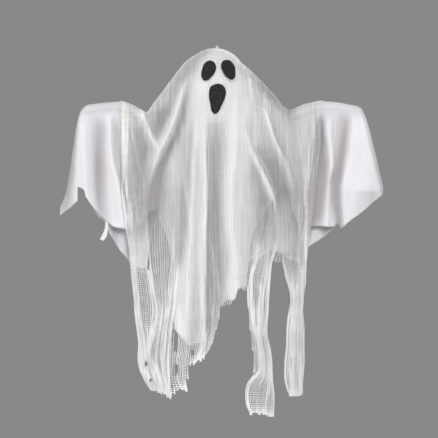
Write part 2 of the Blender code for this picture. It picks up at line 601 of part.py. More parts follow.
def make_knot(finish):
    """Knot above the cloths, with its stem down through them into the ball."""
    bulge = [(KNOT_RADIUS * wide, -KNOT_HEIGHT * down) for wide, down in KNOT_PROFILE]
    profile = [(0.0, 0.0), *bulge, (STEM_RADIUS, KNOT_BASE), (STEM_RADIUS, KNOT_BASE - STEM_DEPTH),
               (0.0, KNOT_BASE - STEM_DEPTH)]
    shape = bmesh.new()
    points = [shape.verts.new((r, 0.0, z)) for r, z in profile]
    edges = [shape.edges.new(pair) for pair in zip(points[:-1], points[1:])]
    bmesh.ops.spin(shape, geom=points + edges, axis=(0, 0, 1), cent=(0, 0, 0),
                   angle=2 * np.pi, steps=KNOT_SIDES)
    bmesh.ops.remove_doubles(shape, verts=shape.verts, dist=MERGE)
    bmesh.ops.recalc_face_normals(shape, faces=shape.faces)
    mesh = bpy.data.meshes.new("hanging_knot")
    shape.to_mesh(mesh)
    shape.free()
    return add_object("hanging_knot", mesh, finish)


def wire_route():
    """Whole wire: left arm, shoulder, straight through the ball, shoulder and right arm."""
    left = (HEAD_X - WIRE_IN_BALL - WIRE_TURN, WIRE_BALL_Z)
    right = (HEAD_X + WIRE_IN_BALL + WIRE_TURN, WIRE_BALL_Z)
    bend_l = smooth_line(LEFT_ARM + LEFT_NECK + [left], WIRE_SPAN_STEPS)
    bend_r = smooth_line([right] + RIGHT_NECK[::-1] + RIGHT_ARM[::-1], WIRE_SPAN_STEPS)
    return np.vstack([bend_l, bend_r])


def part_of_route(route, ends):
    """Stations of the route between two x values, and the two ends."""
    held = route[(route[:, 0] > ends[0] + FIT_CLEARANCE) & (route[:, 0] < ends[1] - FIT_CLEARANCE), 0]
    x = np.concatenate([[ends[0]], held, [ends[1]]])
    return np.stack([x, np.interp(x, route[:, 0], route[:, 1])], axis=1)


def main():
    clear_scene()
    foam = material("foam", (0.86, 0.85, 0.82), 0.85)
    steel = material("steel_wire", (0.55, 0.55, 0.56), 0.4, 1.0)
    white_cloth = material("white_cloth", (0.86, 0.86, 0.89), 0.85)
    gauze_cloth = material("gauze_cloth", (0.80, 0.79, 0.76), 0.9)
    felt = material("dark_felt", (0.03, 0.027, 0.027), 0.95)
    thread = material("thread", (0.85, 0.84, 0.80), 0.8)

    sheet_x, sheet_z = sheet_ridge()
    sheet = Drape(sheet_x, sheet_z, SHEET_HEAD_RADIUS, ARM_COVER)
    gauze_x, gauze_z = gauze_ridge(sheet_x, sheet_z)
    gauze = Drape(gauze_x, gauze_z, GAUZE_HEAD_RADIUS, ARM_COVER + LAYER_STEP)

    def sheet_front(x, z):
        base = sheet.depth(x, z)
        return np.maximum(base + fold_rise(x, z, FRONT_FOLDS), np.minimum(base, LEAST_HALF_DEPTH))

    def sheet_back(x, z):
        base = sheet.depth(x, z)
        return np.maximum(base + fold_rise(x, z, BACK_FOLDS), np.minimum(base, LEAST_HALF_DEPTH))

    def bridge(x, z):
        return BRIDGE * ease((gauze.top(x) - z) / BRIDGE_DROP - BRIDGE_START)

    def gauze_front(x, z):
        return (gauze.depth(x, z) + fold_rise(x, z, FRONT_FOLDS, True)
                + fold_rise(x, z, GAUZE_FOLDS) + bridge(x, z))

    def gauze_back(x, z):
        return gauze.depth(x, z) + fold_rise(x, z, BACK_FOLDS, True) + bridge(x, z)

    tails = (INNER_TAIL, OUTER_TAIL)
    keys = [edge[0][0] for tail in (TORN_STRIP, *tails) for edge in (tail["left"], tail["right"])]
    keys += [*GAUZE_ENDS, HEAD_X]
    places = columns(sheet_x, sheet_z, keys)

    def hang(tail, spots, hem, depth_at):
        held = spots[(spots >= tail["left"][0][0] - MERGE) & (spots <= tail["right"][0][0] + MERGE)]
        return tail_grid(tail, held, depth_at, np.interp(held, *np.array(hem).T))

    front = face_grid(sheet, places, FRONT_HEM, FRONT_ROWS, sheet_front, -1)
    back = face_grid(sheet, places, BACK_HEM, BACK_ROWS, sheet_back, 1)
    mesh = cloth_mesh("under_sheet", front, back, [hang(TORN_STRIP, places, FRONT_HEM, sheet_front)])
    under = add_object("under_sheet", mesh, white_cloth)
    thicken(under, SHEET_THICKNESS)

    inner = places[(places >= GAUZE_ENDS[0] - MERGE) & (places <= GAUZE_ENDS[1] + MERGE)]
    front = face_grid(gauze, inner, GAUZE_FRONT_HEM, GAUZE_FRONT_ROWS, gauze_front, -1)
    back = face_grid(gauze, inner, GAUZE_BACK_HEM, GAUZE_BACK_ROWS, gauze_back, 1)
    mesh = cloth_mesh("gauze_overlay", front, back,
                      [hang(tail, inner, GAUZE_FRONT_HEM, gauze_front) for tail in tails])
    cut_net(mesh, OPEN_WEAVE)
    over = add_object("gauze_overlay", mesh, gauze_cloth)
    thicken(over, GAUZE_THICKNESS)

    stem_hole = cutter("cloth_hole", STEM_RADIUS + HOLE_CLEARANCE, HEAD_Z, CUTTER_TOP)
    cut(under, stem_hole)
    cut(over, stem_hole)

    make_ball(foam)
    make_knot(thread)
    route = wire_route()
    tube("arm_wire", route, WIRE_RADIUS, WIRE_SIDES, steel)
    for name, ends in (("left_arm_sleeve", LEFT_SLEEVE), ("right_arm_sleeve", RIGHT_SLEEVE)):
        tube(name, part_of_route(route, ends), SLEEVE_RADIUS, SLEEVE_SIDES, foam,
             WIRE_RADIUS + FIT_CLEARANCE)
    for name, outline in (("left_eye", LEFT_EYE), ("right_eye", RIGHT_EYE), ("mouth", MOUTH)):
        patch(name, outline, gauze_front, felt)


main()
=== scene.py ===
"""Looks of the hanging ghost: draped cloth, woven gauze over it, felt face, and a plain stage.

Metres, +Z up, the face looks along -Y. Both cloths fall from a ridge line that runs along the
arms and over the head. The tables were read off in tenths of a millimetre: a line is a
list of (x, z) points, and a fold is a list of rows down its line: (z, x, left width, right width,
rise), where a valley has a rise below 0. A band is such a fold too, with a percentage for a rise.
"""

import bpy
import numpy as np
from bpy.props import FloatProperty, FloatVectorProperty, IntProperty, PointerProperty
from bpy.types import Operator, Panel, PropertyGroup
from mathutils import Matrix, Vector


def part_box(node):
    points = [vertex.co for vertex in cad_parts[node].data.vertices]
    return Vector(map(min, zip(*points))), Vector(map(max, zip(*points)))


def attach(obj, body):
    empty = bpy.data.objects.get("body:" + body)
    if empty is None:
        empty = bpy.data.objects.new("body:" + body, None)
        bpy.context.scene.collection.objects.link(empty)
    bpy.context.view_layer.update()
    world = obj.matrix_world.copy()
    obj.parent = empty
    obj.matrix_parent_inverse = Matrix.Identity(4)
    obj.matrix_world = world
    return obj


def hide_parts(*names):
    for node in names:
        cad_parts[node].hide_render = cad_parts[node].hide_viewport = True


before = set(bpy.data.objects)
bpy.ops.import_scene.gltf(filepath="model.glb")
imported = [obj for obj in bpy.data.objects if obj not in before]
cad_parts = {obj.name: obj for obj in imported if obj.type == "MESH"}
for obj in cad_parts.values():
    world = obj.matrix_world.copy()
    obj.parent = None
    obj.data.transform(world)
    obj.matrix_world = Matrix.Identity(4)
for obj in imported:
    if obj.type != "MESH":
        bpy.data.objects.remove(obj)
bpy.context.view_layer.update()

bl_info = {
    "name": "Hanging Ghost",
    "version": (1, 0, 0),
    "blender": (4, 5, 0),
    "location": "View3D > Sidebar > Ghost",
    "description": "Builds the cloth, gauze, face and stage of a hanging ghost decoration",
    "category": "Object",
}

TENTHS = 10000.0
PERCENT = 100.0


def metres(rows, last=TENTHS):
    """Rows of a table in metres. The last column may have a unit of its own."""
    return [(*(value / TENTHS for value in row[:-1]), row[-1] / last) for row in rows]


def fold_table(folds, last=TENTHS):
    """Named folds with their rows in metres."""
    return {name: metres(rows, last) for name, rows in folds.items()}


# Head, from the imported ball, and the cover of the arms
BALL_LOW, BALL_HIGH = (np.array(corner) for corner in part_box("head_ball"))
HEAD_X, _, HEAD_Z = (BALL_LOW + BALL_HIGH) / 2
BALL_RADIUS = (BALL_HIGH[2] - BALL_LOW[2]) / 2
SHEET_HEAD_RADIUS = BALL_RADIUS + 0.0018
GAUZE_HEAD_RADIUS = BALL_RADIUS + 0.0033
LAYER_STEP = GAUZE_HEAD_RADIUS - SHEET_HEAD_RADIUS
ARM_COVER = 0.0093

# Routes of the arms, from each end to the shoulder
LEFT_ARM = metres([
    (-2140, -1075), (-2050, -1062), (-1776, -1031), (-1610, -1024), (-1444, -1082), (-1320, -1154),
    (-1230, -1205), (-1137, -1300), (-1030, -1365)])
RIGHT_ARM = metres([
    (2280, -1085), (2208, -1072), (1975, -1030), (1793, -1019), (1690, -1024), (1577, -1050), (1477, -1075),
    (1378, -1118), (1240, -1172), (1080, -1185)])

# Ridge of the sheet beyond the arm ends, and from the shoulders to the head
LEFT_CORNER = metres([
    (-2600, -2680), (-2520, -2480), (-2450, -2100), (-2377, -1643), (-2312, -1260), (-2255, -1075)])
RIGHT_CORNER = metres([
    (2390, -1035), (2445, -1134), (2528, -1394), (2600, -1677), (2671, -1987), (2750, -2330)])
LEFT_TENT = metres([(-955, -1060), (-880, -790), (-700, -525), (-490, -262)])
RIGHT_TENT = metres([(880, -1080), (700, -900), (530, -610)])
HEAD_TURN = (126.0, 30.0)
ARC_POINTS = 9

# Ridge of the gauze where it spans from the arms to the head
GAUZE_LEFT_TENT = metres([(-1290, -1120), (-1154, -1098), (-1013, -896), (-780, -606), (-600, -390)])
GAUZE_RIGHT_TENT = metres([
    (330, -228), (548, -398), (714, -564), (986, -850), (1079, -985), (1180, -1068), (1290, -1050)])
GAUZE_ENDS = (-0.1620, 0.1770)
RIDGE_STEPS = 900
ARC_SHARE = 0.8

# Hollow body under the head, and how the arms' tubes turn under
BODY_FLARE = 0.012
BODY_WIDEN = 0.45
BODY_HALF_WIDTH = 0.150
HANG_LENGTH = 0.55
LEAST_ROOM = 0.001
LEAST_HALF_WIDTH = 0.0001
LEAST_HALF_DEPTH = 0.0032
CROWN_SHARE = 0.22
CROWN_REACH = 0.9
TUCK_TURN = 1.62
RISE_SLACK = 0.00001

# Gauze over the sheet: how much of its folds it takes, its gap, and where it bridges a hollow
FOLLOW_SHARE = 0.7
BRIDGE = 0.0022
BRIDGE_DROP = 0.020
BRIDGE_START = 0.3
SPAN_STEPS = (-0.0036, -0.0018, 0.0, 0.0018, 0.0036)
LAYER_GAP = 0.0013

# Level crease across the right corner of the sheet
CREASE_Z = -0.2407
CREASE_ABOVE, CREASE_BELOW = 0.105, 0.050
CREASE_RISE = 0.011
CREASE_LEAST = -0.4
CREASE_X, CREASE_BLEND = 0.2030, 0.007
CREASE_DROP = 0.03

# Points per span of a curve, cells of a noise before it repeats, and what stands in for no length
PER_SPAN = 12
NOISE_CELLS = 128
LEAST_LENGTH = 1e-9

# Wrinkles of the sheet. A noise is (amount, cell width, cell height, step of its seed)
WRINKLE_SEEDS = {-1: 11, 1: 31}
WRINKLE_AMOUNT, WRINKLE_WIDTH, WRINKLE_HEIGHT = 0.0013, 0.011, 0.085
WRINKLE_BEND = (1.7, 0.05, 0.06, 1)
WRINKLE_FINE = (0.0004, 0.0045, 0.050, 2)
WRINKLE_DROP = 0.05

# Painted shade in the cloths' colour: its level on flat cloth, the deepest fold, which gets all of it, and
# the area of the face, which gets none and stays pale
FLAT_PAINTED_SHADE = 0.28
DEEPEST = 0.0120
# Share of the front's bands of painted shade that the back takes
BACK_SHADE_SHARE = 0.6
FACE_TONE_WIDTH, FACE_FLAT_WIDTH, FACE_HEIGHT = 0.050, 0.040, 0.075
# Random streaks and level lines in the gauze's colour. In the tails the streaks are painted shade of the
# pleats, on a paler base, from where the tails begin
STREAKS = (1.0, 0.0017, 0.035, 91)
LEVELS = (1.0, 0.021, 0.0030, 92)
STREAK_TONE, LEVEL_TONE = 0.28, 0.09
TAIL_PAINTED_SHADE, TAIL_PALE = 0.6, 0.20
TONE_START, TONE_BLEND = 0.02, 0.04

# Hems of the sheet as outlines from left to right, and the edges of its torn strip
FRONT_HEM = metres([
    (-2600, -2810), (-2440, -2690), (-2315, -2570), (-2308, -2350), (-2195, -2375), (-2180, -2490),
    (-2060, -2660), (-1960, -2790), (-1850, -2890), (-1710, -3010), (-1450, -3040), (-1270, -2990),
    (-1120, -2770), (-1010, -2720), (-900, -2970), (-810, -3220), (-760, -3500), (-745, -4300),
    (-690, -4700), (-450, -4960), (-280, -4910), (-120, -4820), (0, -4660), (20, -4330), (150, -4210),
    (310, -4190), (330, -4010), (480, -4000), (500, -3780), (520, -3450), (590, -3100), (830, -2690),
    (1110, -2290), (1180, -2420), (1250, -2780), (1380, -2960), (1540, -3000), (1940, -3000), (2000, -2930),
    (2060, -3030), (2220, -2900), (2450, -2720), (2620, -2560), (2750, -2450)])
BACK_HEM = metres([
    (-2600, -2810), (-2440, -2690), (-2315, -2570), (-2308, -2350), (-2195, -2375), (-2150, -2530),
    (-2070, -2700), (-1980, -2830), (-1850, -2920), (-1770, -3150), (-1610, -3400), (-1440, -3590),
    (-1300, -3690), (-1170, -3700), (-1140, -3400), (-1060, -2900), (-940, -2760), (-800, -2950),
    (-700, -3400), (-640, -4100), (-450, -4500), (-280, -4620), (-80, -4480), (100, -4130), (360, -3880),
    (560, -3560), (740, -3320), (960, -3410), (1200, -3470), (1500, -3350), (1790, -3160), (1960, -3010),
    (2000, -2930), (2090, -3010), (2250, -2880), (2450, -2720), (2620, -2560), (2750, -2450)])
STRIP_LEFT = metres([(-1850, -2890), (-1860, -3020), (-1900, -3130), (-1945, -3210)])
STRIP_RIGHT = metres([(-1800, -2932), (-1806, -3050), (-1835, -3170), (-1885, -3235)])
STRIP_ROWS = 10
STRIP_CURL = 0.0030
HEM_SEED = 5
FRAY_CELL = 0.006
FRAY_WAVER, FRAY_THREADS = 0.6, 0.4
LEAST_DROP = 0.004
TURN_COVER, TURN_SHARE = 1.2, 0.45

# Folds of both cloths, and soft bands of painted shade over them, which paint light where their rise is
# below 0
FRONT_FOLDS = fold_table({
    "left arm, broad light fold": [(-1129, -2191, 133, 66, 0), (-1295, -2191, 149, 66, 80),
        (-1892, -2175, 166, 66, 130), (-2390, -2158, 183, 83, 130), (-2888, -2075, 199, 100, 100)],
    "left arm, shallow valley": [(-1162, -1959, 66, 83, 0), (-1394, -1959, 83, 100, -60),
        (-1975, -1975, 83, 116, -90), (-2556, -1975, 83, 116, -70), (-2888, -1942, 83, 116, -40)],
    "left arm, sharp crease": [(-1112, -1776, 66, 33, 0), (-1245, -1776, 66, 33, 70),
        (-1643, -1760, 83, 33, 100), (-1975, -1718, 100, 33, 120), (-2224, -1643, 133, 33, 130),
        (-2556, -1577, 166, 33, 120), (-2922, -1544, 166, 50, 100)],
    "valley beside the crease": [(-1162, -1677, 33, 50, 0), (-1394, -1677, 33, 50, -40),
        (-1892, -1643, 33, 50, -40), (-2224, -1560, 33, 50, -20)],
    "left armpit edge": [(-996, -1278, 100, 30, 0), (-1145, -1228, 100, 30, 70),
        (-1311, -1162, 116, 30, 90), (-1511, -1087, 116, 37, 80), (-1726, -979, 100, 50, 50),
        (-1975, -946, 100, 66, 0)],
    "swag from the head to the left": [(-498, -481, 100, 50, 0), (-730, -564, 100, 50, 70),
        (-1145, -664, 100, 42, 110), (-1428, -780, 116, 42, 120), (-1726, -930, 133, 50, 100),
        (-1975, -1046, 133, 66, 70), (-2307, -1112, 133, 66, 40), (-2639, -1145, 133, 66, 0)],
    "valley under the swag": [(-647, -465, 42, 66, 0), (-896, -515, 42, 66, -70),
        (-1228, -581, 42, 66, -110), (-1560, -697, 50, 83, -120), (-1809, -830, 50, 100, -110),
        (-2058, -946, 66, 100, -90), (-2390, -1029, 83, 116, -60), (-2805, -1079, 100, 133, -40),
        (-3220, -1096, 100, 133, 0)],
    "thin fold right of the valley": [(-1062, -531, 33, 50, 0), (-1311, -614, 33, 50, 30),
        (-1643, -697, 33, 50, 40), (-1892, -780, 33, 66, 30), (-2141, -830, 33, 83, 0)],
    "fold from the left eye": [(-564, -282, 66, 66, 0), (-896, -299, 66, 50, 40), (-1394, -332, 66, 50, 50),
        (-1892, -382, 66, 58, 60), (-2390, -398, 83, 58, 60), (-3054, -432, 83, 66, 70),
        (-3884, -481, 100, 83, 70), (-4714, -515, 100, 83, 60)],
    "sharp fold left of the middle": [(-1096, -166, 83, 27, 0), (-1311, -183, 83, 27, 50),
        (-1726, -208, 83, 25, 80), (-2224, -183, 91, 25, 100), (-2722, -191, 100, 25, 100),
        (-3386, -208, 100, 30, 90), (-4050, -216, 100, 33, 80), (-4631, -216, 100, 50, 60)],
    "middle valley": [(-1145, -50, 83, 83, 0), (-1394, -33, 100, 116, -60), (-1809, -50, 100, 133, -100),
        (-2390, -58, 100, 116, -110), (-3054, -66, 100, 133, -110), (-3718, -50, 116, 149, -90),
        (-4382, -66, 116, 116, -60), (-4880, -116, 116, 100, -30)],
    "broad fold right of the middle": [(-830, 349, 83, 66, 0), (-1062, 332, 100, 66, 50),
        (-1477, 315, 116, 66, 80), (-1975, 282, 133, 75, 90), (-2473, 241, 116, 83, 90),
        (-3054, 249, 116, 83, 90), (-3552, 315, 116, 83, 80), (-4050, 299, 116, 83, 70)],
    "thin slanting fold": [(-1062, 432, 50, 33, 0), (-1394, 465, 50, 27, 60), (-1726, 556, 66, 25, 80),
        (-1975, 681, 83, 25, 90), (-2224, 797, 83, 27, 90), (-2556, 946, 83, 33, 60),
        (-2805, 996, 83, 50, 0)],
    "valley beside the slanting fold": [(-1560, 647, 25, 100, 0), (-1726, 681, 25, 133, -40),
        (-1975, 813, 25, 149, -60), (-2224, 930, 33, 149, -50), (-2556, 1046, 33, 133, 0)],
    "right armpit edge": [(-963, 747, 66, 33, 0), (-1145, 813, 66, 33, 50), (-1394, 896, 83, 33, 60),
        (-1643, 979, 100, 33, 70), (-1892, 1112, 100, 42, 60), (-2224, 1212, 100, 50, 40),
        (-2473, 1262, 100, 50, 0)],
    "right arm, wide light panel": [(-1096, 2258, 25, 232, 0), (-1262, 2258, 25, 266, 40),
        (-1726, 2208, 25, 332, 70), (-2058, 2141, 25, 365, 80), (-2390, 2058, 27, 398, 80),
        (-3021, 2125, 30, 398, 70)],
    "right arm, valley beside the panel": [(-1129, 2175, 116, 33, 0), (-1262, 2158, 116, 33, -70),
        (-1726, 2092, 100, 42, -100), (-2141, 2017, 83, 42, -110), (-2556, 1984, 66, 42, -110),
        (-2988, 2025, 50, 42, -100)],
    "right arm, thin light fold": [(-1145, 1876, 66, 30, 0), (-1361, 1876, 83, 30, 70),
        (-1726, 1892, 83, 30, 90), (-1975, 1909, 83, 30, 90), (-2224, 1859, 83, 33, 80),
        (-2971, 1809, 83, 50, 70)],
    "right arm, inner valley": [(-1096, 1726, 50, 50, 0), (-1295, 1710, 50, 50, -70),
        (-1726, 1660, 50, 58, -100), (-2141, 1610, 50, 66, -110), (-2556, 1560, 50, 83, -100),
        (-2805, 1544, 50, 100, -80)],
    "lower left fold": [(-3469, -598, 66, 66, 0), (-3884, -647, 66, 66, 50), (-4548, -647, 66, 66, 50)],
})
BACK_FOLDS = fold_table({
    "middle fold": [(-979, 33, 116, 50, 0), (-1394, 33, 133, 50, 60), (-2224, 66, 133, 50, 90),
        (-3220, 50, 149, 50, 100), (-4382, -17, 149, 66, 90)],
    "valley beside the middle fold": [(-1145, -83, 50, 116, 0), (-1560, -100, 50, 116, -60),
        (-2556, -116, 50, 133, -80), (-3884, -166, 66, 133, -70)],
    "left of the middle": [(-1062, -299, 50, 100, 0), (-1560, -315, 50, 116, 60),
        (-2556, -382, 50, 133, 80), (-3884, -448, 66, 133, 80), (-4548, -481, 66, 133, 70)],
    "right of the middle": [(-1062, 365, 100, 50, 0), (-1726, 415, 116, 50, 60), (-2556, 481, 133, 50, 80),
        (-3552, 531, 133, 66, 80)],
    "left swag": [(-764, -548, 50, 100, 0), (-1145, -647, 50, 116, 70), (-1560, -813, 50, 133, 80),
        (-1975, -946, 66, 133, 70), (-2556, -1013, 83, 133, 50)],
    "valley under the left swag": [(-979, -481, 100, 50, 0), (-1394, -581, 100, 50, -60),
        (-1809, -730, 116, 50, -70), (-2390, -813, 116, 66, -50)],
    "right swag": [(-813, 681, 100, 50, 0), (-1228, 813, 116, 50, 60), (-1726, 979, 133, 50, 70),
        (-2390, 1112, 133, 66, 60), (-3054, 1145, 133, 83, 60)],
    "valley under the right swag": [(-1062, 614, 50, 100, 0), (-1477, 681, 50, 116, -50),
        (-1975, 813, 50, 116, -60), (-2722, 880, 66, 116, -50)],
    "left arm, inner fold": [(-1129, -1477, 50, 100, 0), (-1560, -1461, 50, 116, 60),
        (-2390, -1428, 50, 133, 80), (-3220, -1394, 66, 133, 80)],
    "left arm, valley": [(-1195, -1743, 100, 50, 0), (-1643, -1726, 100, 50, -50),
        (-2556, -1710, 100, 50, -60)],
    "left arm, outer fold": [(-1162, -2025, 66, 100, 0), (-1560, -2025, 66, 116, 50),
        (-2307, -2075, 66, 133, 70), (-2805, -2075, 83, 133, 60)],
    "right arm, inner fold": [(-1129, 1511, 100, 50, 0), (-1560, 1511, 116, 50, 60),
        (-2390, 1527, 133, 50, 80), (-3054, 1511, 133, 66, 70)],
    "right arm, valley": [(-1195, 1776, 50, 100, 0), (-1643, 1793, 50, 116, -50),
        (-2556, 1826, 50, 116, -60)],
    "right arm, outer fold": [(-1162, 2125, 100, 66, 0), (-1560, 2158, 116, 66, 60),
        (-2224, 2208, 133, 66, 80), (-2805, 2241, 133, 83, 70)],
})
GAUZE_FOLDS = fold_table({
    "film fold beside the left rope": [(-1096, -1461, 25, 42, 0), (-1361, -1428, 25, 42, 50),
        (-1892, -1328, 25, 50, 50), (-2390, -1212, 25, 50, 40), (-2805, -1145, 33, 66, 0)],
    "film fold over the left chest": [(-1726, -681, 100, 100, 0), (-2224, -647, 100, 100, 30),
        (-3054, -681, 100, 100, 30), (-3718, -697, 100, 100, 0)],
})
# Bands of painted shade in the cloths' colour, with rises in percent; below 0 they paint light
PAINTED_SHADE_BANDS = fold_table({
    "outer strip of the left arm": [(-1129, -2274, 100, 66, 0), (-1394, -2341, 116, 83, 50),
        (-2058, -2407, 116, 100, 75), (-2639, -2507, 100, 100, 55), (-2971, -2573, 100, 100, 10)],
    "left of the head": [(0, -166, 199, 166, 50), (-266, -398, 183, 166, 65), (-564, -531, 166, 149, 65),
        (-979, -730, 149, 133, 50), (-1311, -946, 149, 133, 45), (-1560, -979, 149, 133, 20),
        (-1892, -1013, 149, 133, 0)],
    "open gauze over the left chest": [(-1228, -1278, 133, 133, 15), (-1726, -1245, 149, 199, 70),
        (-2390, -1145, 232, 266, 70), (-2805, -1079, 232, 232, 55), (-3303, -1079, 199, 199, 10),
        (-3718, -1079, 199, 199, 0)],
    "open gauze over the right chest": [(-1145, 747, 66, 166, 10), (-1726, 913, 133, 232, 55),
        (-2390, 1112, 199, 232, 60), (-3054, 1145, 232, 232, 45), (-3586, 1179, 232, 199, 20),
        (-3801, 1179, 232, 199, 0)],
    "inside the left swag": [(-963, -847, 116, 116, 0), (-1129, -896, 149, 133, 45),
        (-1394, -946, 133, 116, 40), (-1643, -979, 83, 83, 15), (-1793, -979, 66, 66, 0)],
    "bare gauze right of the head": [(-199, 448, 66, 83, 25), (-481, 664, 116, 100, 75),
        (-697, 847, 133, 133, 90), (-896, 1013, 133, 149, 90), (-1062, 1112, 133, 149, 60),
        (-1195, 1212, 149, 149, 20), (-1394, 1212, 149, 149, 0)],
    "strip left of the right arm's valley": [(-1029, 1643, 66, 66, 0), (-1311, 1677, 66, 66, 35),
        (-1726, 1643, 66, 66, 45), (-2390, 1577, 66, 83, 40), (-2888, 1544, 66, 83, 10),
        (-3137, 1544, 66, 83, 0)],
    "gauze left of the sharp fold": [(-1228, -415, 133, 100, 0), (-1726, -415, 166, 116, 35),
        (-2556, -481, 199, 149, 45), (-3386, -531, 199, 149, 35), (-4050, -548, 199, 149, 0)],
    "gauze right of the broad fold": [(-1643, 548, 66, 83, 0), (-2058, 647, 100, 133, 45),
        (-2556, 747, 133, 149, 65), (-2971, 747, 133, 133, 45), (-3386, 681, 133, 133, 0)],
    "soft shade low on the sheet": [(-3220, -249, 266, 332, 0), (-4050, -249, 266, 299, 25),
        (-4714, -282, 299, 299, 30), (-5080, -349, 299, 232, 0)],
    "mesh of the inner tail": [(-4150, 747, 66, 83, 0), (-4631, 747, 66, 83, 35), (-5129, 813, 83, 83, 40),
        (-5627, 813, 100, 100, 15), (-5876, 780, 116, 116, 0)],
    "paler cheek and fold on the right": [(-398, 432, 83, 83, 0), (-647, 465, 100, 100, -30),
        (-1062, 432, 100, 100, -30), (-1726, 349, 100, 100, -25), (-2556, 315, 100, 100, -25),
        (-3303, 315, 100, 100, 0)],
    "right corner below its crease": [(-2374, 2440, 349, 398, 0), (-2432, 2440, 349, 398, 35),
        (-2639, 2341, 299, 398, 33), (-3021, 2191, 149, 249, 35), (-3187, 2175, 149, 249, 0)],
    "shade on top of the left arm": [(-896, -1809, 199, 232, 0), (-996, -1843, 232, 232, 15),
        (-1162, -1876, 199, 166, 0)],
    "paler middle valley": [(-1228, -50, 83, 116, -10), (-1892, -50, 100, 133, -25),
        (-3220, -66, 100, 133, -25), (-4714, -116, 100, 100, -15), (-5046, -116, 100, 100, 0)],
    "band inside the right arm": [(-1162, 1743, 83, 100, 0), (-1560, 1760, 100, 116, 60),
        (-2224, 1793, 100, 149, 85), (-2805, 1710, 100, 149, 60), (-2988, 1710, 100, 116, 20)],
}, PERCENT)

# Lines of some threads of the gauze, by their numbers from left to right
FRONT_GUIDES = fold_table({
    0: [(-1610, -913), (-1585, -1726), (-1577, -2390), (-1527, -2805), (-1428, -3635), (-1369, -4216),
        (-1328, -4582), (-1287, -4847), (-1278, -5312), (-1212, -5495), (-1096, -5652)],
    15: [(-1461, -963), (-1477, -1726), (-1469, -2390), (-1403, -2805), (-1328, -3635), (-1262, -4216),
        (-1220, -4582), (-1179, -4847), (-1154, -5146), (-1112, -5412), (-1013, -5677)],
    21: [(-1328, -1013), (-1311, -1726), (-1278, -2390), (-1228, -2805), (-1179, -3586), (-1087, -4050),
        (-1054, -4382), (-1096, -4748), (-1120, -5046), (-1046, -5378), (-946, -5694)],
    29: [(-1179, -1046), (-1162, -1726), (-1145, -2390), (-1112, -2805), (-1104, -3386), (-1021, -4050),
        (-963, -4382), (-1013, -4748), (-1079, -5046), (-979, -5378), (-880, -5727)],
    38: [(-979, -847), (-946, -1726), (-863, -2390), (-780, -2805), (-747, -3386), (-780, -3884),
        (-830, -4382), (-880, -4797), (-905, -5046), (-880, -5461), (-813, -5777)],
    48: [(-863, -697), (-730, -1726), (-647, -2390), (-598, -2805), (-589, -3386), (-639, -3884),
        (-697, -4299), (-747, -4714), (-764, -5046), (-764, -5461), (-747, -5777)],
    51: [(-813, -631), (-664, -1726), (-581, -2390), (-523, -2805), (-481, -3386), (-515, -4050),
        (-598, -4548), (-639, -4797), (-647, -5046), (-664, -5246), (-639, -5544), (-573, -5669)],
    57: [(-681, -448), (-531, -1726), (-465, -2390), (-398, -2805), (-365, -3386), (-382, -4050),
        (-432, -4548), (-481, -4963), (-523, -5246), (-523, -5461), (-490, -5677)],
    59: [(-614, -382), (-481, -1726), (-423, -2390), (-357, -2805), (-315, -3386), (-324, -4050),
        (-365, -4548), (-415, -4963), (-440, -5262)],
    63: [(-515, -266), (-390, -1726), (-332, -2390), (-282, -2805), (-216, -3386), (-199, -4216),
        (-232, -4714), (-299, -5046), (-349, -5212)],
    71: [(-282, -100), (-216, -1726), (-183, -2390), (-149, -2805), (-100, -3386), (-66, -4216),
        (-116, -4631), (-183, -4963), (-232, -5146)],
    79: [(-33, -33), (-17, -1726), (-17, -2805), (17, -3718), (33, -4299), (8, -4582), (-17, -4714)],
    81: [(42, -33), (50, -1726), (58, -2805), (83, -3718), (58, -4216), (50, -4316)],
    85: [(183, -66), (183, -1726), (216, -2805), (249, -3718), (224, -4266)],
    90: [(349, -216), (382, -1726), (432, -2805), (448, -3552), (382, -3884), (332, -4034)],
    95: [(481, -365), (564, -1726), (581, -2556), (581, -3220), (589, -3486), (539, -3752), (481, -4017)],
    101: [(598, -465), (689, -1726), (706, -2556), (681, -3220), (647, -3519), (573, -3835), (564, -4050),
        (581, -4266), (589, -4548), (664, -5129), (656, -5378), (523, -5544), (490, -5893), (556, -6051)],
    104: [(656, -515), (747, -1726), (764, -2556), (730, -3220), (681, -3552), (603, -3835), (594, -4050),
        (614, -4266), (627, -4548), (697, -5129), (697, -5378), (573, -5544), (539, -5893), (589, -6059)],
    109: [(764, -631), (830, -1726), (855, -2556), (822, -3220), (780, -3552), (714, -3884), (706, -4100),
        (677, -4299), (681, -4548), (754, -5129), (764, -5412), (664, -5627), (647, -5876), (681, -6059)],
    116: [(896, -764), (955, -1726), (979, -2556), (938, -3220), (872, -3586), (789, -3934), (755, -4167),
        (755, -4416), (755, -4631), (827, -5096), (847, -5412), (822, -5677), (797, -5910), (813, -6076)],
    123: [(1029, -880), (1079, -1726), (1096, -2556), (1029, -3254), (905, -3586), (855, -3967),
        (830, -4382), (813, -4714), (888, -5063), (921, -5395), (938, -5793), (925, -6100)],
    126: [(1096, -963), (1137, -1726), (1154, -2556), (1112, -3254), (1062, -3519), (1112, -3752),
        (1212, -4216), (1170, -4515), (1150, -4880), (1150, -5644), (1187, -5760)],
    129: [(1162, -996), (1187, -1726), (1203, -2556), (1162, -3254), (1104, -3503), (1150, -3752),
        (1237, -4183), (1203, -4482), (1184, -4880), (1184, -5644), (1212, -5768)],
    138: [(1361, -1013), (1369, -1726), (1361, -2556), (1336, -3220), (1331, -3486), (1328, -3801),
        (1303, -4084), (1287, -4299), (1282, -4548), (1282, -4880), (1282, -5677), (1295, -5777)],
    144: [(1511, -979), (1494, -1726), (1452, -2556), (1403, -3220), (1378, -3635), (1353, -4050),
        (1345, -4416), (1345, -4880), (1345, -5627), (1345, -5777)],
    158: [(1770, -930), (1693, -1726), (1577, -2805), (1527, -3220), (1477, -3718), (1461, -3934),
        (1428, -4216), (1411, -4399), (1433, -4631), (1436, -5295), (1411, -5744)],
})
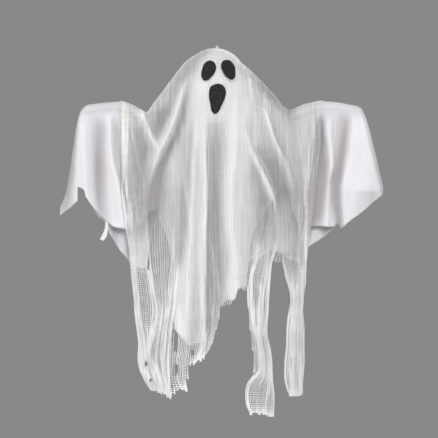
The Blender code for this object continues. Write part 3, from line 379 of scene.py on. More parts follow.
BACK_GUIDES = fold_table({
    0: [(-1610, -913), (-1610, -1726), (-1594, -2191)],
    15: [(-1461, -963), (-1444, -1726), (-1411, -2390), (-1378, -2623)],
    29: [(-1162, -1029), (-1179, -1726), (-1179, -2224), (-1162, -2490)],
    48: [(-863, -697), (-896, -1726), (-880, -2390), (-830, -2805)],
    57: [(-681, -448), (-681, -1726), (-647, -2556), (-598, -3220)],
    71: [(-282, -100), (-299, -1726), (-282, -2722), (-249, -3586)],
    79: [(-33, -33), (-17, -1726), (0, -2888), (17, -3503)],
    90: [(349, -216), (382, -1726), (398, -2722), (415, -3386)],
    107: [(647, -498), (681, -1726), (681, -2722), (647, -3586)],
    123: [(880, -764), (946, -1726), (930, -2722), (896, -3386)],
    134: [(1212, -1062), (1245, -1726), (1228, -2722), (1195, -3519)],
    144: [(1494, -979), (1494, -1726), (1428, -2556), (1361, -3386), (1345, -3586)],
    158: [(1770, -930), (1710, -1560), (1594, -2390), (1511, -3220), (1477, -3586)],
})
GAUZE_PIECES = ((-1, FRONT_GUIDES, {"gauze_front_left": (0, 79), "gauze_front_right": (79, 158)}),
                (1, BACK_GUIDES, {"gauze_back": (0, 158)}))
GAUZE_SEED = 40
GAUZE_BOTTOM = -0.6120
GUIDE_STEPS = 700
GUIDE_DROP = 0.02
BUNCH_RISE, BUNCH_END = 0.006, 0.02
BUNCH_SHARE, BUNCH_WIDTH = 0.30, 0.0062

# Unevenness of the threads, with the noises' cells in threads and rows
SETTLE_ROWS = 6.0
THREAD_SHIFT = 0.0003
WARP_SWAY, WARP_DRIFT = (0.0008, 2.1, 9.0, 1), (0.0013, 4.7, 17.0, 6)
WEFT_SAG, WEFT_DRIFT = (0.0007, 9.0, 1.7, 2), (0.0012, 23.0, 4.3, 7)
PLEAT_WANDER, TAIL_WANDER = (3.0, 17.0, 22.0, 3), (2.5, 8.0, 8.0, 5)
CRUMPLE, CRUMPLE_HEIGHT = (1.0, 3.3, 5.0, 4), 0.0010
PLEAT_ROWS = 4.0

# Tails, ropes and rolls as (thread, width in threads, height), and places where threads lie dense
TAIL_START = -0.3600
TAIL_LEAD, TAIL_BLEND = 0.01, 0.05
ROPES = [(8, 8.0, 0.0018), (149, 8.0, 0.0018)]
TAIL_ROLLS = [(7, 8.0, 0.005), (29, 5.0, 0.004), (43, 6.0, 0.005), (112, 9.0, 0.007), (144, 12.0, 0.006)]
TAIL_EDGES = [(thread, 1.6, 0.9) for thread in (1, 21, 46, 102, 122, 128, 157)]
DENSE_THREADS, DENSE_WIDTH = (8, 151), 8.0
RIM_SWELL, RIM_HEIGHT, RIM_REACH = 1.4, 0.008, 0.1
RIDGE_SWELL = 0.55
LOOSE_SWELL = 0.3

# Torn places: tears as (first thread, last thread, z), slits as (x, z, half width, half height)
TEARS = [(123, 126, -0.3560)]
SLITS = metres([
    (-681, -4864, 34, 183), (-672, -5362, 34, 116), (-400, -5060, 40, 50), (-1162, -5262, 40, 35),
    (-1087, -5536, 30, 40), (-1129, -3619, 22, 110)])
SLIT_CORE = 0.7
RAGGED = (0.0025, 2.0, 1.0, 71)
SHORTEST_FRAY = 0.2
LOST_WEFTS = 0.006
BROKEN_WARPS = 0.02
BREAKS, BREAK_LEVEL = (1.0, 1.0, 9.0, 83), 0.1

# Face patches, as closed outlines seen from the front
LEFT_EYE = metres([
    (-249, -548), (-243, -398), (-185, -293), (-116, -266), (-50, -291), (-15, -365), (-25, -448),
    (-83, -531), (-149, -591), (-216, -598)])
RIGHT_EYE = metres([
    (66, -349), (100, -274), (158, -250), (232, -277), (291, -357), (304, -465), (291, -556), (241, -586),
    (166, -548), (100, -457)])
MOUTH = metres([
    (-131, -813), (-108, -706), (-33, -661), (33, -654), (108, -689), (149, -780), (133, -880), (75, -1013),
    (8, -1129), (-33, -1149), (-75, -1120), (-108, -996)])
PATCH_SEGMENTS, PATCH_RINGS = 72, 12
PATCH_SEED = 7
PATCH_POWER = 8
PATCH_FUZZ = 0.012
PATCH_RELIEF = 0.00012
PATCH_STEPS = (-0.002, 0.0, 0.002)

# Knot: a strand on a three-lobed loop, and its stem down into the ball
KNOT_STEPS, KNOT_SIDES = 96, 12
KNOT_SIZE, KNOT_LOBE = 0.00085, 1.25
KNOT_MIDDLE, KNOT_SWING = -0.00175, -0.00095
STRAND_RADIUS = 0.00072
STEM_RADIUS = 0.0010
STEM_HEIGHTS = [-0.0012, -0.0034, -0.0100, -0.0190]

# Weave: the scale of a wave texture times 20 is in radians, half a turn for each thread
WAVE_RATE = 20.0
HALF_TURN = 3.1416

# Stage
SENSOR = 36.0
VIEW_MIDDLE = (0.0033, -0.2872)
LAMP_AIM = (0.0, 0.0, -0.25)
KEY_PLACE, KEY_SIZE, KEY_COLOUR = (0.30, -2.65, 1.00), 1.1, (1.0, 0.995, 0.985)
SIDE_PLACE, SIDE_SIZE = (-2.3, -0.9, 0.7), 1.4
BACK_PLACE, BACK_SIZE = (0.4, 2.4, 0.9), 1.8
WHITE = (1.0, 1.0, 1.0)
FLOOR_SIDES, FLOOR_RINGS = 96, 24
FLOOR_INNER, FLOOR_OUTER = 0.1, 12.0
FLOOR_FADE = (0.85, 1.35)


def smooth_line(points, per_span=PER_SPAN):
    """Cubic curve through the points, with slopes from their neighbours."""
    points = np.asarray(points, float)
    step = np.linalg.norm(np.diff(points, axis=0), axis=1)
    along = np.concatenate([[0.0], np.cumsum(step)])
    slope = np.gradient(points, along, axis=0)
    t = np.linspace(0.0, 1.0, per_span, endpoint=False)[:, None]
    runs = [points[k] * (2 * t**3 - 3 * t**2 + 1) + points[k + 1] * (3 * t**2 - 2 * t**3)
            + slope[k] * length * (t**3 - 2 * t**2 + t) + slope[k + 1] * length * (t**3 - t**2)
            for k, length in enumerate(step)]
    return np.vstack(runs + [points[-1:]])


def closed_line(points, count):
    """Closed cubic curve through the points, at equal steps along it."""
    curve = smooth_line(points[-3:] + points + points[:3])[3 * PER_SPAN:-2 * PER_SPAN]
    along = np.concatenate([[0.0], np.cumsum(np.linalg.norm(np.diff(curve, axis=0), axis=1))])
    at = np.linspace(0.0, along[-1], count, endpoint=False)
    return np.stack([np.interp(at, along, curve[:, k]) for k in (0, 1)], axis=1)


def ease(q):
    """Smooth step from 0 to 1."""
    q = np.clip(q, 0.0, 1.0)
    return q * q * (3.0 - 2.0 * q)


def value_noise(u, v, seed):
    """Smooth noise from -1 to 1: random values at whole numbers, blended with smooth steps."""
    table = np.random.default_rng(seed).uniform(-1.0, 1.0, (NOISE_CELLS, NOISE_CELLS))
    iu, iv = np.floor(u).astype(int), np.floor(v).astype(int)
    fu, fv = ease(u - iu), ease(v - iv)
    left, right = iu % NOISE_CELLS, (iu + 1) % NOISE_CELLS
    low, high = iv % NOISE_CELLS, (iv + 1) % NOISE_CELLS
    below = table[left, low] * (1 - fu) + table[right, low] * fu
    above = table[left, high] * (1 - fu) + table[right, high] * fu
    return below * (1 - fv) + above * fv


def cell_noise(x, z, noise, seed=0):
    """Value noise times its amount, over cells with a width and a height, with its own seed."""
    amount, width, height, step = noise
    return amount * value_noise(x / width, z / height, seed + step)


def bells(threads, rows):
    """Sum of bells over the threads' numbers, each with its middle, width and height."""
    return sum(height * np.exp(-(((threads - middle) / width) ** 2)) for middle, width, height in rows)


def face_mask(x, z, half_width):
    """1 over the face, falling to 0 round it with the fourth powers of both distances."""
    return np.exp(-(((x - HEAD_X) / half_width) ** 4) - ((z - HEAD_Z) / FACE_HEIGHT) ** 4)


def lengths(points):
    """Lengths of the vectors along the last axis, never 0, kept as a column."""
    return np.maximum(np.linalg.norm(points, axis=-1), LEAST_LENGTH)[..., None]


def grid_faces(index, wrap_rows=False, wrap_columns=False):
    """Quads between the point numbers of a grid, which may close on itself either way."""
    index = np.pad(index, ((0, int(wrap_rows)), (0, int(wrap_columns))), mode="wrap")
    corners = (index[:-1, :-1], index[1:, :-1], index[1:, 1:], index[:-1, 1:])
    return np.stack(corners, axis=2).reshape(-1, 4)


def raised(route, cover):
    """The route's points moved up across it by the cover."""
    x, z = np.array(route).T
    slope = np.gradient(z, x)
    lean = np.sqrt(1.0 + slope**2)
    return list(zip(x - cover * slope / lean, z + cover / lean))


def sheet_ridge():
    """Ridge line: hanging corners, covered arms, tents and an arc over the head."""
    turn = np.radians(np.linspace(*HEAD_TURN, ARC_POINTS))
    arc = list(zip(HEAD_X + SHEET_HEAD_RADIUS * np.cos(turn), HEAD_Z + SHEET_HEAD_RADIUS * np.sin(turn)))
    line = smooth_line(LEFT_CORNER + raised(LEFT_ARM, ARM_COVER) + LEFT_TENT + arc
                       + RIGHT_TENT[::-1] + raised(RIGHT_ARM[::-1], ARM_COVER) + RIGHT_CORNER)
    return line[:, 0], line[:, 1]


def gauze_ridge(sheet_x, sheet_z):
    """Ridge line one layer above the sheet's, or along its own tents where these are higher."""
    x = np.linspace(*GAUZE_ENDS, RIDGE_STEPS)
    slope = np.interp(x, sheet_x, np.gradient(sheet_z, sheet_x))
    lifted = np.interp(x, sheet_x, sheet_z) + LAYER_STEP * np.sqrt(1.0 + slope**2)
    arc = np.sqrt(np.maximum(GAUZE_HEAD_RADIUS**2 - (x - HEAD_X) ** 2, 0.0)) + HEAD_Z
    high = np.where(np.abs(x - HEAD_X) < GAUZE_HEAD_RADIUS * ARC_SHARE, arc, lifted)
    for tent in (GAUZE_LEFT_TENT, GAUZE_RIGHT_TENT):
        tx, tz = np.array(tent).T
        inside = (x >= tx[0]) & (x <= tx[-1])
        high = np.maximum(high, np.where(inside, np.interp(x, tx, tz), lifted))
    return x, np.maximum(lifted, high)


class Drape:
    """One cloth's ridge line and its half depth in front of or behind the middle plane."""

    def __init__(self, ridge, head_radius, arm_radius):
        self.x, self.z = ridge
        self.head_radius = head_radius
        self.arm_radius = arm_radius
        self.lean = 1.0 / np.sqrt(1.0 + np.gradient(self.z, self.x) ** 2)
        crown = int(np.argmin(np.abs(self.x - HEAD_X)))
        self.left = self.half_width(self.x[crown::-1], self.z[crown::-1])
        self.right = self.half_width(self.x[crown:], self.z[crown:])

    @staticmethod
    def half_width(xs, zs):
        """Half width of the head and its tent at each height, down to the shoulder's lowest point."""
        falling = np.minimum.accumulate(zs)
        low = int(np.argmax(zs > falling + RISE_SLACK)) or len(zs)
        return zs[:low], np.abs(xs[:low] - HEAD_X)

    def top(self, x):
        """Height of the ridge line."""
        return np.interp(x, self.x, self.z)

    def body_half_width(self, side, z):
        """Tent's half width, widening below the shoulder up to the body's own."""
        heights, widths = side
        tent = np.interp(z, heights[::-1], widths[::-1])
        below = np.maximum(heights[-1] - z, 0.0)
        room = np.maximum(BODY_HALF_WIDTH - widths[-1], LEAST_ROOM)
        return tent + room * (1.0 - np.exp(-below * BODY_WIDEN / room))

    def depth(self, x, z):
        """Union of an ellipse round the head and body, and of the arms' tubes with a tuck below them."""
        across = x - HEAD_X
        half = np.where(across < 0.0, self.body_half_width(self.left, z),
                        self.body_half_width(self.right, z))
        above = np.maximum(self.head_radius**2 - (z - HEAD_Z) ** 2, 0.0)
        below = self.head_radius + BODY_FLARE * np.maximum(HEAD_Z - z, 0.0) / HANG_LENGTH
        half_depth = np.where(z > HEAD_Z, np.sqrt(above), below)
        off = across / np.maximum(half, LEAST_HALF_WIDTH)
        body = half_depth * np.sqrt(np.maximum(1.0 - off**2, 0.0))
        drop = np.maximum(self.top(x) - z, 0.0) * np.interp(x, self.x, self.lean)
        on_arm = ease(np.abs(across) / self.head_radius - CROWN_REACH)
        radius = self.arm_radius * (CROWN_SHARE + (1.0 - CROWN_SHARE) * on_arm)
        turn = np.clip(drop / radius, 0.0, TUCK_TURN)
        arm = radius * np.sqrt(np.maximum(1.0 - (1.0 - turn) ** 2, 0.0))
        return np.cbrt(body**3 + arm**3)


def side_folds(side, own=False):
    """Folds in front or behind, and the gauze's own too where they are asked for."""
    folds = FRONT_FOLDS if side < 0 else BACK_FOLDS
    return {**folds, **GAUZE_FOLDS} if own and side < 0 else folds


def fold_rise(x, z, folds, share=1.0, ridges_only=False):
    """Sum of the folds: each a bell with its own width on either side of a line that wanders."""
    total = np.zeros_like(x)
    for rows in folds.values():
        height, centre, left, right, rise = np.array(rows).T
        if ridges_only and rise.min() < 0.0:
            continue
        off = x - np.interp(-z, -height, centre)
        width = np.where(off < 0.0, np.interp(-z, -height, left), np.interp(-z, -height, right))
        total += share * np.interp(-z, -height, rise) * np.exp(-((off / width) ** 2))
    return total


def painted_shade(x, z, side):
    """Painted shade at a place, from 0 on a ridge to 1: a flat level off the face, more in the folds' fall,
    and soft bands of painted shade and light.
    """
    flat = FLAT_PAINTED_SHADE * (1.0 - face_mask(x, z, FACE_TONE_WIDTH))
    bands = (1.0 if side < 0 else BACK_SHADE_SHARE) * fold_rise(x, z, PAINTED_SHADE_BANDS)
    return np.clip(flat - fold_rise(x, z, side_folds(side)) / DEEPEST + bands, 0.0, 1.0)


def panel_crease(x, z):
    """Right corner of the sheet, bent along a level crease: it leans out down to it and in below."""
    off = z - CREASE_Z
    lean = 1.0 - np.where(off > 0.0, off / CREASE_ABOVE, -off / CREASE_BELOW)
    return CREASE_RISE * np.clip(lean, CREASE_LEAST, 1.0) * ease((x - CREASE_X) / CREASE_BLEND)


def wrinkles(x, z, drop, seed):
    """Small creases drawn out down the cloth: two stretched noises that grow below the ridge."""
    bend = cell_noise(x, z, WRINKLE_BEND, seed)
    wide = WRINKLE_AMOUNT * value_noise(x / WRINKLE_WIDTH + bend, z / WRINKLE_HEIGHT, seed)
    return ease(drop / WRINKLE_DROP) * (wide + cell_noise(x, z, WRINKLE_FINE, seed))


SHEET = Drape(sheet_ridge(), SHEET_HEAD_RADIUS, ARM_COVER)
GAUZE = Drape(gauze_ridge(SHEET.x, SHEET.z), GAUZE_HEAD_RADIUS, ARM_COVER + LAYER_STEP)


def sheet_depth(x, z, side):
    """Sheet's distance from the middle plane: its drape, its folds and its wrinkles."""
    base = SHEET.depth(x, z)
    drop = SHEET.top(x) - z
    crease = fold_rise(x, z, side_folds(side)) + wrinkles(x, z, drop, WRINKLE_SEEDS[side])
    if side < 0:
        crease += panel_crease(x, z) * ease(drop / CREASE_DROP)
    return np.maximum(base + crease, np.minimum(base, LEAST_HALF_DEPTH))


def gauze_depth(x, z, side):
    """Gauze's distance from the middle plane: its own drape, or taut over the sheet's folds."""
    own = GAUZE.depth(x, z) + fold_rise(x, z, side_folds(side), FOLLOW_SHARE, True)
    own += BRIDGE * ease((GAUZE.top(x) - z) / BRIDGE_DROP - BRIDGE_START)
    if side < 0:
        own += fold_rise(x, z, GAUZE_FOLDS)
    under = np.max([sheet_depth(x + step, z, side) for step in SPAN_STEPS], axis=0)
    return np.maximum(own, under + LAYER_GAP)


def add_painted_shade(piece, values):
    """Stores the painted shade of each point, which the cloth's colour takes."""
    held = piece.data.attributes.new("painted_shade", "FLOAT", "POINT")
    held.data.foreach_set("value", values.astype(np.float32))


def new_object(name, points, faces, finish, smooth=True):
    """Mesh object from points and faces at the origin, with its finish."""
    mesh = bpy.data.meshes.new(name)
    mesh.from_pydata(points.tolist(), [], faces if isinstance(faces, list) else faces.tolist())
    mesh.materials.append(finish)
    mesh.polygons.foreach_set("use_smooth", np.full(len(mesh.polygons), smooth))
    mesh.validate()
    made = bpy.data.objects.new(name, mesh)
    bpy.context.scene.collection.objects.link(made)
    return made


class Finish:
    """Material with one Principled shader, and what adds nodes on Object coordinates to it."""

    def __init__(self, name, colour, roughness, metallic=0.0):
        self.made = bpy.data.materials.new(name)
        self.made.use_nodes = True
        self.nodes, self.links = self.made.node_tree.nodes, self.made.node_tree.links
        self.shader = self.nodes["Principled BSDF"]
        self.shader.inputs["Base Color"].default_value = (*colour, 1.0)
        self.shader.inputs["Roughness"].default_value = roughness
        self.shader.inputs["Metallic"].default_value = metallic
        self.place = self.nodes.new("ShaderNodeTexCoord")

    def noise(self, scale, detail=3.0, roughness=0.5):
        """Level of a noise texture."""
        made = self.nodes.new("ShaderNodeTexNoise")
        made.inputs["Scale"].default_value = scale
        made.inputs["Detail"].default_value = detail
        made.inputs["Roughness"].default_value = roughness
        self.links.new(self.place.outputs["Object"], made.inputs["Vector"])
        return made.outputs["Fac"]

    def tint(self, factor, low, high, bounds=(0.3, 0.7)):
        """Colour ramp from low to high into the shader's base colour."""
        ramp = self.nodes.new("ShaderNodeValToRGB")
        for element, position, colour in zip(ramp.color_ramp.elements, bounds, (low, high)):
            element.position = position
            element.color = (*colour, 1.0)
        self.links.new(factor, ramp.inputs["Fac"])
        self.links.new(ramp.outputs["Color"], self.shader.inputs["Base Color"])
        return ramp

    def paint_shade(self, ramp, colour):
        """Paints shade: turns the ramp's colour towards the painted shade colour by each point's painted
        shade.
        """
        held = self.nodes.new("ShaderNodeAttribute")
        held.attribute_name = "painted_shade"
        mix = self.nodes.new("ShaderNodeMix")
        mix.data_type = "RGBA"
        self.links.new(held.outputs["Fac"], mix.inputs[0])
        self.links.new(ramp.outputs["Color"], mix.inputs[6])
        mix.inputs[7].default_value = (*colour, 1.0)
        self.links.new(mix.outputs[2], self.shader.inputs["Base Color"])

    def bump(self, height, distance, strength=1.0):
        """Bump from a height socket into the shader's normal."""
        bump = self.nodes.new("ShaderNodeBump")
        bump.inputs["Distance"].default_value = distance
        bump.inputs["Strength"].default_value = strength
        self.links.new(height, bump.inputs["Height"])
        self.links.new(bump.outputs["Normal"], self.shader.inputs["Normal"])


def shade(colour, share):
    """A colour made darker by a share."""
    return tuple(channel * share for channel in colour)


def cloth_material(settings):
    """Plain weave on the cloth's own map, in metres, soft blotches of colour, and painted shade by the
    points' painted shade values.
    """
    cloth = Finish("white_cloth_finish", settings.colour, roughness=0.88)
    waves = [cloth.nodes.new("ShaderNodeTexWave"), cloth.nodes.new("ShaderNodeTexWave")]
    add = cloth.nodes.new("ShaderNodeMath")
    add.operation = "ADD"
    for slot, (wave, direction) in enumerate(zip(waves, ("X", "Y"))):
        wave.bands_direction = direction
        wave.inputs["Scale"].default_value = HALF_TURN / (WAVE_RATE * settings.weave_pitch)
        wave.inputs["Distortion"].default_value = 1.2
        wave.inputs["Detail"].default_value = 1.0
        cloth.links.new(cloth.place.outputs["UV"], wave.inputs["Vector"])
        cloth.links.new(wave.outputs["Fac"], add.inputs[slot])
    cloth.bump(add.outputs["Value"], distance=0.00008, strength=0.5)
    ramp = cloth.tint(cloth.noise(scale=22.0, detail=4.0), shade(settings.colour, 0.95), settings.colour)
    cloth.paint_shade(ramp, settings.painted_shade_colour)
    cloth.shader.inputs["Sheen Weight"].default_value = 0.15
    cloth.shader.inputs["Sheen Roughness"].default_value = 0.5
    cloth.shader.inputs["Subsurface Weight"].default_value = 0.4
    cloth.shader.inputs["Subsurface Radius"].default_value = WHITE
    cloth.shader.inputs["Subsurface Scale"].default_value = 0.0012
    return cloth.made


def gauze_material(settings):
    """Loose cotton: fibres along the thread as stretched noise, light and dark lengths, and painted shade by
    the points' painted shade values.
    """
    gauze = Finish("gauze_finish", settings.colour, roughness=0.93)
    gauze.bump(gauze.noise(scale=900.0, detail=2.0, roughness=0.6), distance=0.0003, strength=0.6)
    ramp = gauze.tint(gauze.noise(scale=55.0), shade(settings.colour, 0.94), settings.colour)
    gauze.paint_shade(ramp, settings.painted_shade_colour)
    gauze.shader.inputs["Sheen Weight"].default_value = 0.25
    gauze.shader.inputs["Subsurface Weight"].default_value = 0.25
    gauze.shader.inputs["Subsurface Radius"].default_value = WHITE
    gauze.shader.inputs["Subsurface Scale"].default_value = 0.002
    return gauze.made


def felt_material(settings):
    """Matted fibres: fine noise as bump, with light specks of lint."""
    felt = Finish("dark_felt_finish", settings.colour, roughness=0.97)
    felt.bump(felt.noise(scale=650.0, detail=4.0, roughness=0.7), distance=0.0006, strength=0.9)
    felt.tint(felt.noise(scale=520.0, roughness=0.65), settings.colour, settings.lint_colour, (0.46, 0.80))
    felt.shader.inputs["Sheen Weight"].default_value = 0.02
    felt.shader.inputs["Sheen Roughness"].default_value = 0.4
    return felt.made


def foam_material(settings):
    """Moulded foam: rounded beads with fine seams between them."""
    foam = Finish("foam_finish", settings.foam_colour, roughness=0.8)
    beads = foam.nodes.new("ShaderNodeTexVoronoi")
    beads.inputs["Scale"].default_value = 1.0 / settings.bead_size
    foam.links.new(foam.place.outputs["Object"], beads.inputs["Vector"])
    foam.bump(beads.outputs["Distance"], distance=-0.0006, strength=0.8)
    foam.tint(beads.outputs["Distance"], settings.foam_colour, shade(settings.foam_colour, 0.86),
              (0.2, 0.75))
    return foam.made


def wire_material(settings):
    """Drawn wire: fine scratches and a little unevenness in its gloss."""
    wire = Finish("wire_finish", settings.wire_colour, roughness=0.36, metallic=1.0)
    wire.bump(wire.noise(scale=1400.0), distance=0.00005, strength=0.4)
    wire.tint(wire.noise(scale=90.0, detail=2.0), shade(settings.wire_colour, 0.8), settings.wire_colour)
    return wire.made


def thread_material(settings):
    """Twisted thread: close bands round the strand."""
    thread = Finish("thread_finish", settings.thread_colour, roughness=0.85)
    twist = thread.nodes.new("ShaderNodeTexWave")
    twist.bands_direction = "DIAGONAL"
    twist.inputs["Scale"].default_value = 420.0
    twist.inputs["Distortion"].default_value = 2.0
    thread.links.new(thread.place.outputs["Object"], twist.inputs["Vector"])
    thread.bump(twist.outputs["Fac"], distance=0.0002, strength=0.8)
    thread.tint(twist.outputs["Fac"], shade(settings.thread_colour, 0.8), settings.thread_colour, (0.1, 0.9))
    return thread.made


def frayed(hem, places, amount, seed):
    """Hem height at each place: the outline, with a small waver and single longer threads."""
    rng = np.random.default_rng(seed)
    waver = FRAY_WAVER * value_noise(places / FRAY_CELL, np.zeros_like(places), seed)
    single = FRAY_THREADS * rng.uniform(-1, 1, len(places))
    return np.interp(places, *np.array(hem).T) + amount * (waver + single)


def sheet_grid(places, hem, side, settings):
    """Grid down from the ridge to the hem: rows turn over the ridge first, then fall evenly."""
    top = SHEET.top(places)
    low = frayed(hem, places, settings.fray, HEM_SEED + side)
    height = np.maximum(top - low, LEAST_DROP)
    ball = np.sqrt(np.maximum(SHEET_HEAD_RADIUS**2 - (places - HEAD_X) ** 2, 0.0))
    bend = np.minimum(np.maximum(ball, ARM_COVER * TURN_COVER), height * TURN_SHARE)
    turn = np.linspace(0.0, np.pi / 2, settings.round_rows + 1)[:, None]
    fall = np.linspace(0.0, 1.0, settings.even_rows + 1)[1:, None]
    drop = np.vstack([bend * (1.0 - np.cos(turn)), bend + (height - bend) * fall])
    x = np.broadcast_to(places, drop.shape)
    z = top - drop
    y = side * sheet_depth(x, z, side)
    y[0] = 0.0
    return np.stack([x, y, z], axis=2)


def strip_grid(places, hem_z):
    """Torn strip from the hem down: a straight blend between its two edge lines."""
    share = np.linspace(0.0, 1.0, STRIP_ROWS + 1)
    across = (places - places[0]) / (places[-1] - places[0])
    edges = [smooth_line(line) for line in (STRIP_LEFT, STRIP_RIGHT)]
    left, right = (np.stack([np.interp(share, np.linspace(0.0, 1.0, len(edge)), edge[:, k])
                             for k in (0, 1)], axis=1) for edge in edges)
    flat = left[:, None] * (1.0 - across[None, :, None]) + right[:, None] * across[None, :, None]
    flat[0, :, 0] = places
    flat[0, :, 1] = hem_z
    hung = sheet_depth(places, hem_z, -1)[None]
    curl = STRIP_CURL * ease(share)[:, None] * np.sin(np.pi * across)[None]
    return np.stack([flat[..., 0], -(hung + curl), flat[..., 1]], axis=2)


def build_sheet(settings):
    """Front and back grids that share the ridge row, and the torn strip that shares its hem row."""
    along = np.concatenate([[0.0], np.cumsum(np.hypot(np.diff(SHEET.x), np.diff(SHEET.z)))])
    steps = np.linspace(0.0, along[-1], int(round(along[-1] / settings.column_pitch)) + 1)
    places = np.interp(steps, along, SHEET.x)
    first, last = (int(np.argmin(np.abs(places - edge[0][0]))) for edge in (STRIP_LEFT, STRIP_RIGHT))
    front = sheet_grid(places, FRONT_HEM, -1, settings)
    back = sheet_grid(places, BACK_HEM, 1, settings)
    rows, columns = front.shape[:2]
    front_index = np.arange(rows * columns).reshape(rows, columns)
    back_index = front_index + (rows - 1) * columns
    back_index[0] = front_index[0]
    strip = strip_grid(places[first:last + 1], front[-1, first:last + 1, 2])
    strip_index = np.arange((2 * rows - 1) * columns, (2 * rows - 1) * columns + strip[1:, :, 0].size)
    strip_index = np.vstack([front_index[-1, first:last + 1], strip_index.reshape(STRIP_ROWS, -1)])

    points = np.vstack([front.reshape(-1, 3), back[1:].reshape(-1, 3), strip[1:].reshape(-1, 3)])
    quads = np.vstack([grid_faces(front_index), grid_faces(back_index)[:, ::-1], grid_faces(strip_index)])
    piece = new_object("under_sheet_cloth", points, quads, cloth_material(settings))
    # Painted shade for the cloth's colour: by the folds and bands in front and behind, none on the torn
    # strip
    add_painted_shade(piece, np.concatenate([painted_shade(front[..., 0], front[..., 2], -1).ravel(),
                                       painted_shade(back[1:, :, 0], back[1:, :, 2], 1).ravel(),
                                       np.zeros(strip[1:, :, 0].size)]))
    down = np.cumsum(np.linalg.norm(np.diff(front, axis=0), axis=2), axis=0)
    flat = np.stack([np.interp(points[:, 0], SHEET.x, along), -points[:, 2]], axis=1)
    flat[:rows * columns, 1] = np.vstack([np.zeros((1, columns)), down]).ravel()
    corner = np.empty(len(piece.data.loops), np.int32)
    piece.data.loops.foreach_get("vertex_index", corner)
    piece.data.uv_layers.new(name="cloth").data.foreach_set("uv", flat[corner].astype(np.float32).ravel())
    wall = piece.modifiers.new("thickness", "SOLIDIFY")
    wall.thickness = settings.thickness
    wall.offset = 0.0
    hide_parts("under_sheet")
    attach(piece, "root")
    return piece


def thread_tubes(points, out, link, width, height):
    """Three-sided closed tubes along the rows of a point grid, drawn where link holds.

    At each point the section is a triangle with its flat side out: two corners half a width
    to either side and a third of the height out, and one corner two thirds of it in.
    """
    along = np.gradient(points, axis=1)
    along /= lengths(along)
    across = np.cross(along, out)
    across /= lengths(across)
    rise = np.cross(across, along)
    corners = np.stack([points + across * width / 2 + rise * height / 3,
                        points - across * width / 2 + rise * height / 3,
                        points - rise * height * 2 / 3], axis=2)
    lines, stations = points.shape[:2]
    number = (np.arange(lines * stations) * 3).reshape(lines, stations, 1) + np.arange(3)
    here, there = number[:, :-1][link], number[:, 1:][link]
    turn = [1, 2, 0]
    walls = np.stack([here, there, there[:, turn], here[:, turn]], axis=2).reshape(-1, 4)
    before = np.pad(link, ((0, 0), (1, 0)))[:, :-1]
    after = np.pad(link, ((0, 0), (0, 1)))[:, 1:]
    starts = number[:, :-1][link & ~before]
    ends = number[:, 1:][link & ~after][:, ::-1]
    return corners.reshape(-1, 3), walls, np.vstack([starts, ends])


def compact(points, quads, triangles):
    """Drops the points that no face uses, and renumbers the faces."""
    used = np.zeros(len(points), bool)
    used[quads] = True
    used[triangles] = True
    number = np.cumsum(used) - 1
    return points[used], number[quads].tolist() + number[triangles].tolist()


def guide_table(guides, share):
    """x and z of each thread at each share of its drop, blended between the two nearest guides."""
    numbers = list(guides)
    threads = np.arange(numbers[-1] + 1)
    x_top = np.interp(threads, numbers, [line[0][0] for line in guides.values()])
    z_top = GAUZE.top(x_top)
    z = z_top[:, None] + (GAUZE_BOTTOM - z_top)[:, None] * share[None]
    x = np.empty_like(z)
    for a, b in zip(numbers[:-1], numbers[1:]):
        rows = slice(a, b + 1)
        blend = ((threads[rows] - a) / (b - a))[:, None]
        curves = (smooth_line(guides[number]) for number in (a, b))
        xa, xb = (np.interp(-z[rows], -curve[:, 1], curve[:, 0]) for curve in curves)
        x[rows] = xa * (1.0 - blend) + xb * blend
    settle = ease((z_top[:, None] - z) / GUIDE_DROP)
    x = x_top[:, None] * (1.0 - settle) + x * settle
    return x, z, np.interp(threads, numbers, [line[-1][1] for line in guides.values()])


def bunch(x, z, side):
    """Sideways shift that draws threads towards the ridge of each fold, so that it shows as a line."""
    total = np.zeros_like(x)
    for rows in side_folds(side, own=True).values():
        height, centre, _, _, rise = np.array(rows).T
        off = x - np.interp(-z, -height, centre)
        held = ease(np.interp(-z, -height, rise) / BUNCH_RISE) * (z > height[-1] - BUNCH_END)
        total -= BUNCH_SHARE * held * off * np.exp(-((off / BUNCH_WIDTH) ** 2))
    return total


def surface_normal(points, side):
    """Unit normals of a grid of points, turned to the front or the back, and up at the ridge."""
    normal = np.cross(np.gradient(points, axis=0), np.gradient(points, axis=1))
    normal *= np.where(normal[..., 1:2] * side < 0.0, -1.0, 1.0)
    normal[:, 0] = (0.0, 0.0, 1.0)
    return normal / lengths(normal)


def even_steps(x, y, z, pitch):
    """x and z at equal steps down each thread, as many as the longest one needs."""
    step = np.sqrt(np.diff(x, axis=1) ** 2 + np.diff(y, axis=1) ** 2 + np.diff(z, axis=1) ** 2)
    length = np.pad(np.cumsum(step, axis=1), ((0, 0), (1, 0)))
    at = np.linspace(0.0, 1.0, int(round(length[:, -1].max() / pitch)) + 1)
    return [np.stack([np.interp(at * total[-1], total, line) for total, line in zip(length, values)])
            for values in (x, z)]


def thread_places(guides, side, settings, seed, rng):
    """x and z of the threads' crossings: equal steps down each warp, made uneven by noises."""
    x, z, ends = guide_table(guides, np.linspace(0.0, 1.0, GUIDE_STEPS) ** 2)
    y = gauze_depth(x, np.maximum(z, TAIL_START), side)
    y[:, 0] = 0.0
    x, z = even_steps(x, y, z, settings.weft_pitch)
    threads, rows = np.indices(x.shape)
    settle = ease(rows / SETTLE_ROWS)
    sway, drift, sag, stray = (cell_noise(threads, rows, noise, seed)
                               for noise in (WARP_SWAY, WARP_DRIFT, WEFT_SAG, WEFT_DRIFT))
    x = x + settle * (THREAD_SHIFT * rng.uniform(-1, 1, (len(x), 1)) + sway + drift)
    z = z + settle * (sag + stray)
    return x + settle * bunch(x, z, side), z, threads, rows, ends


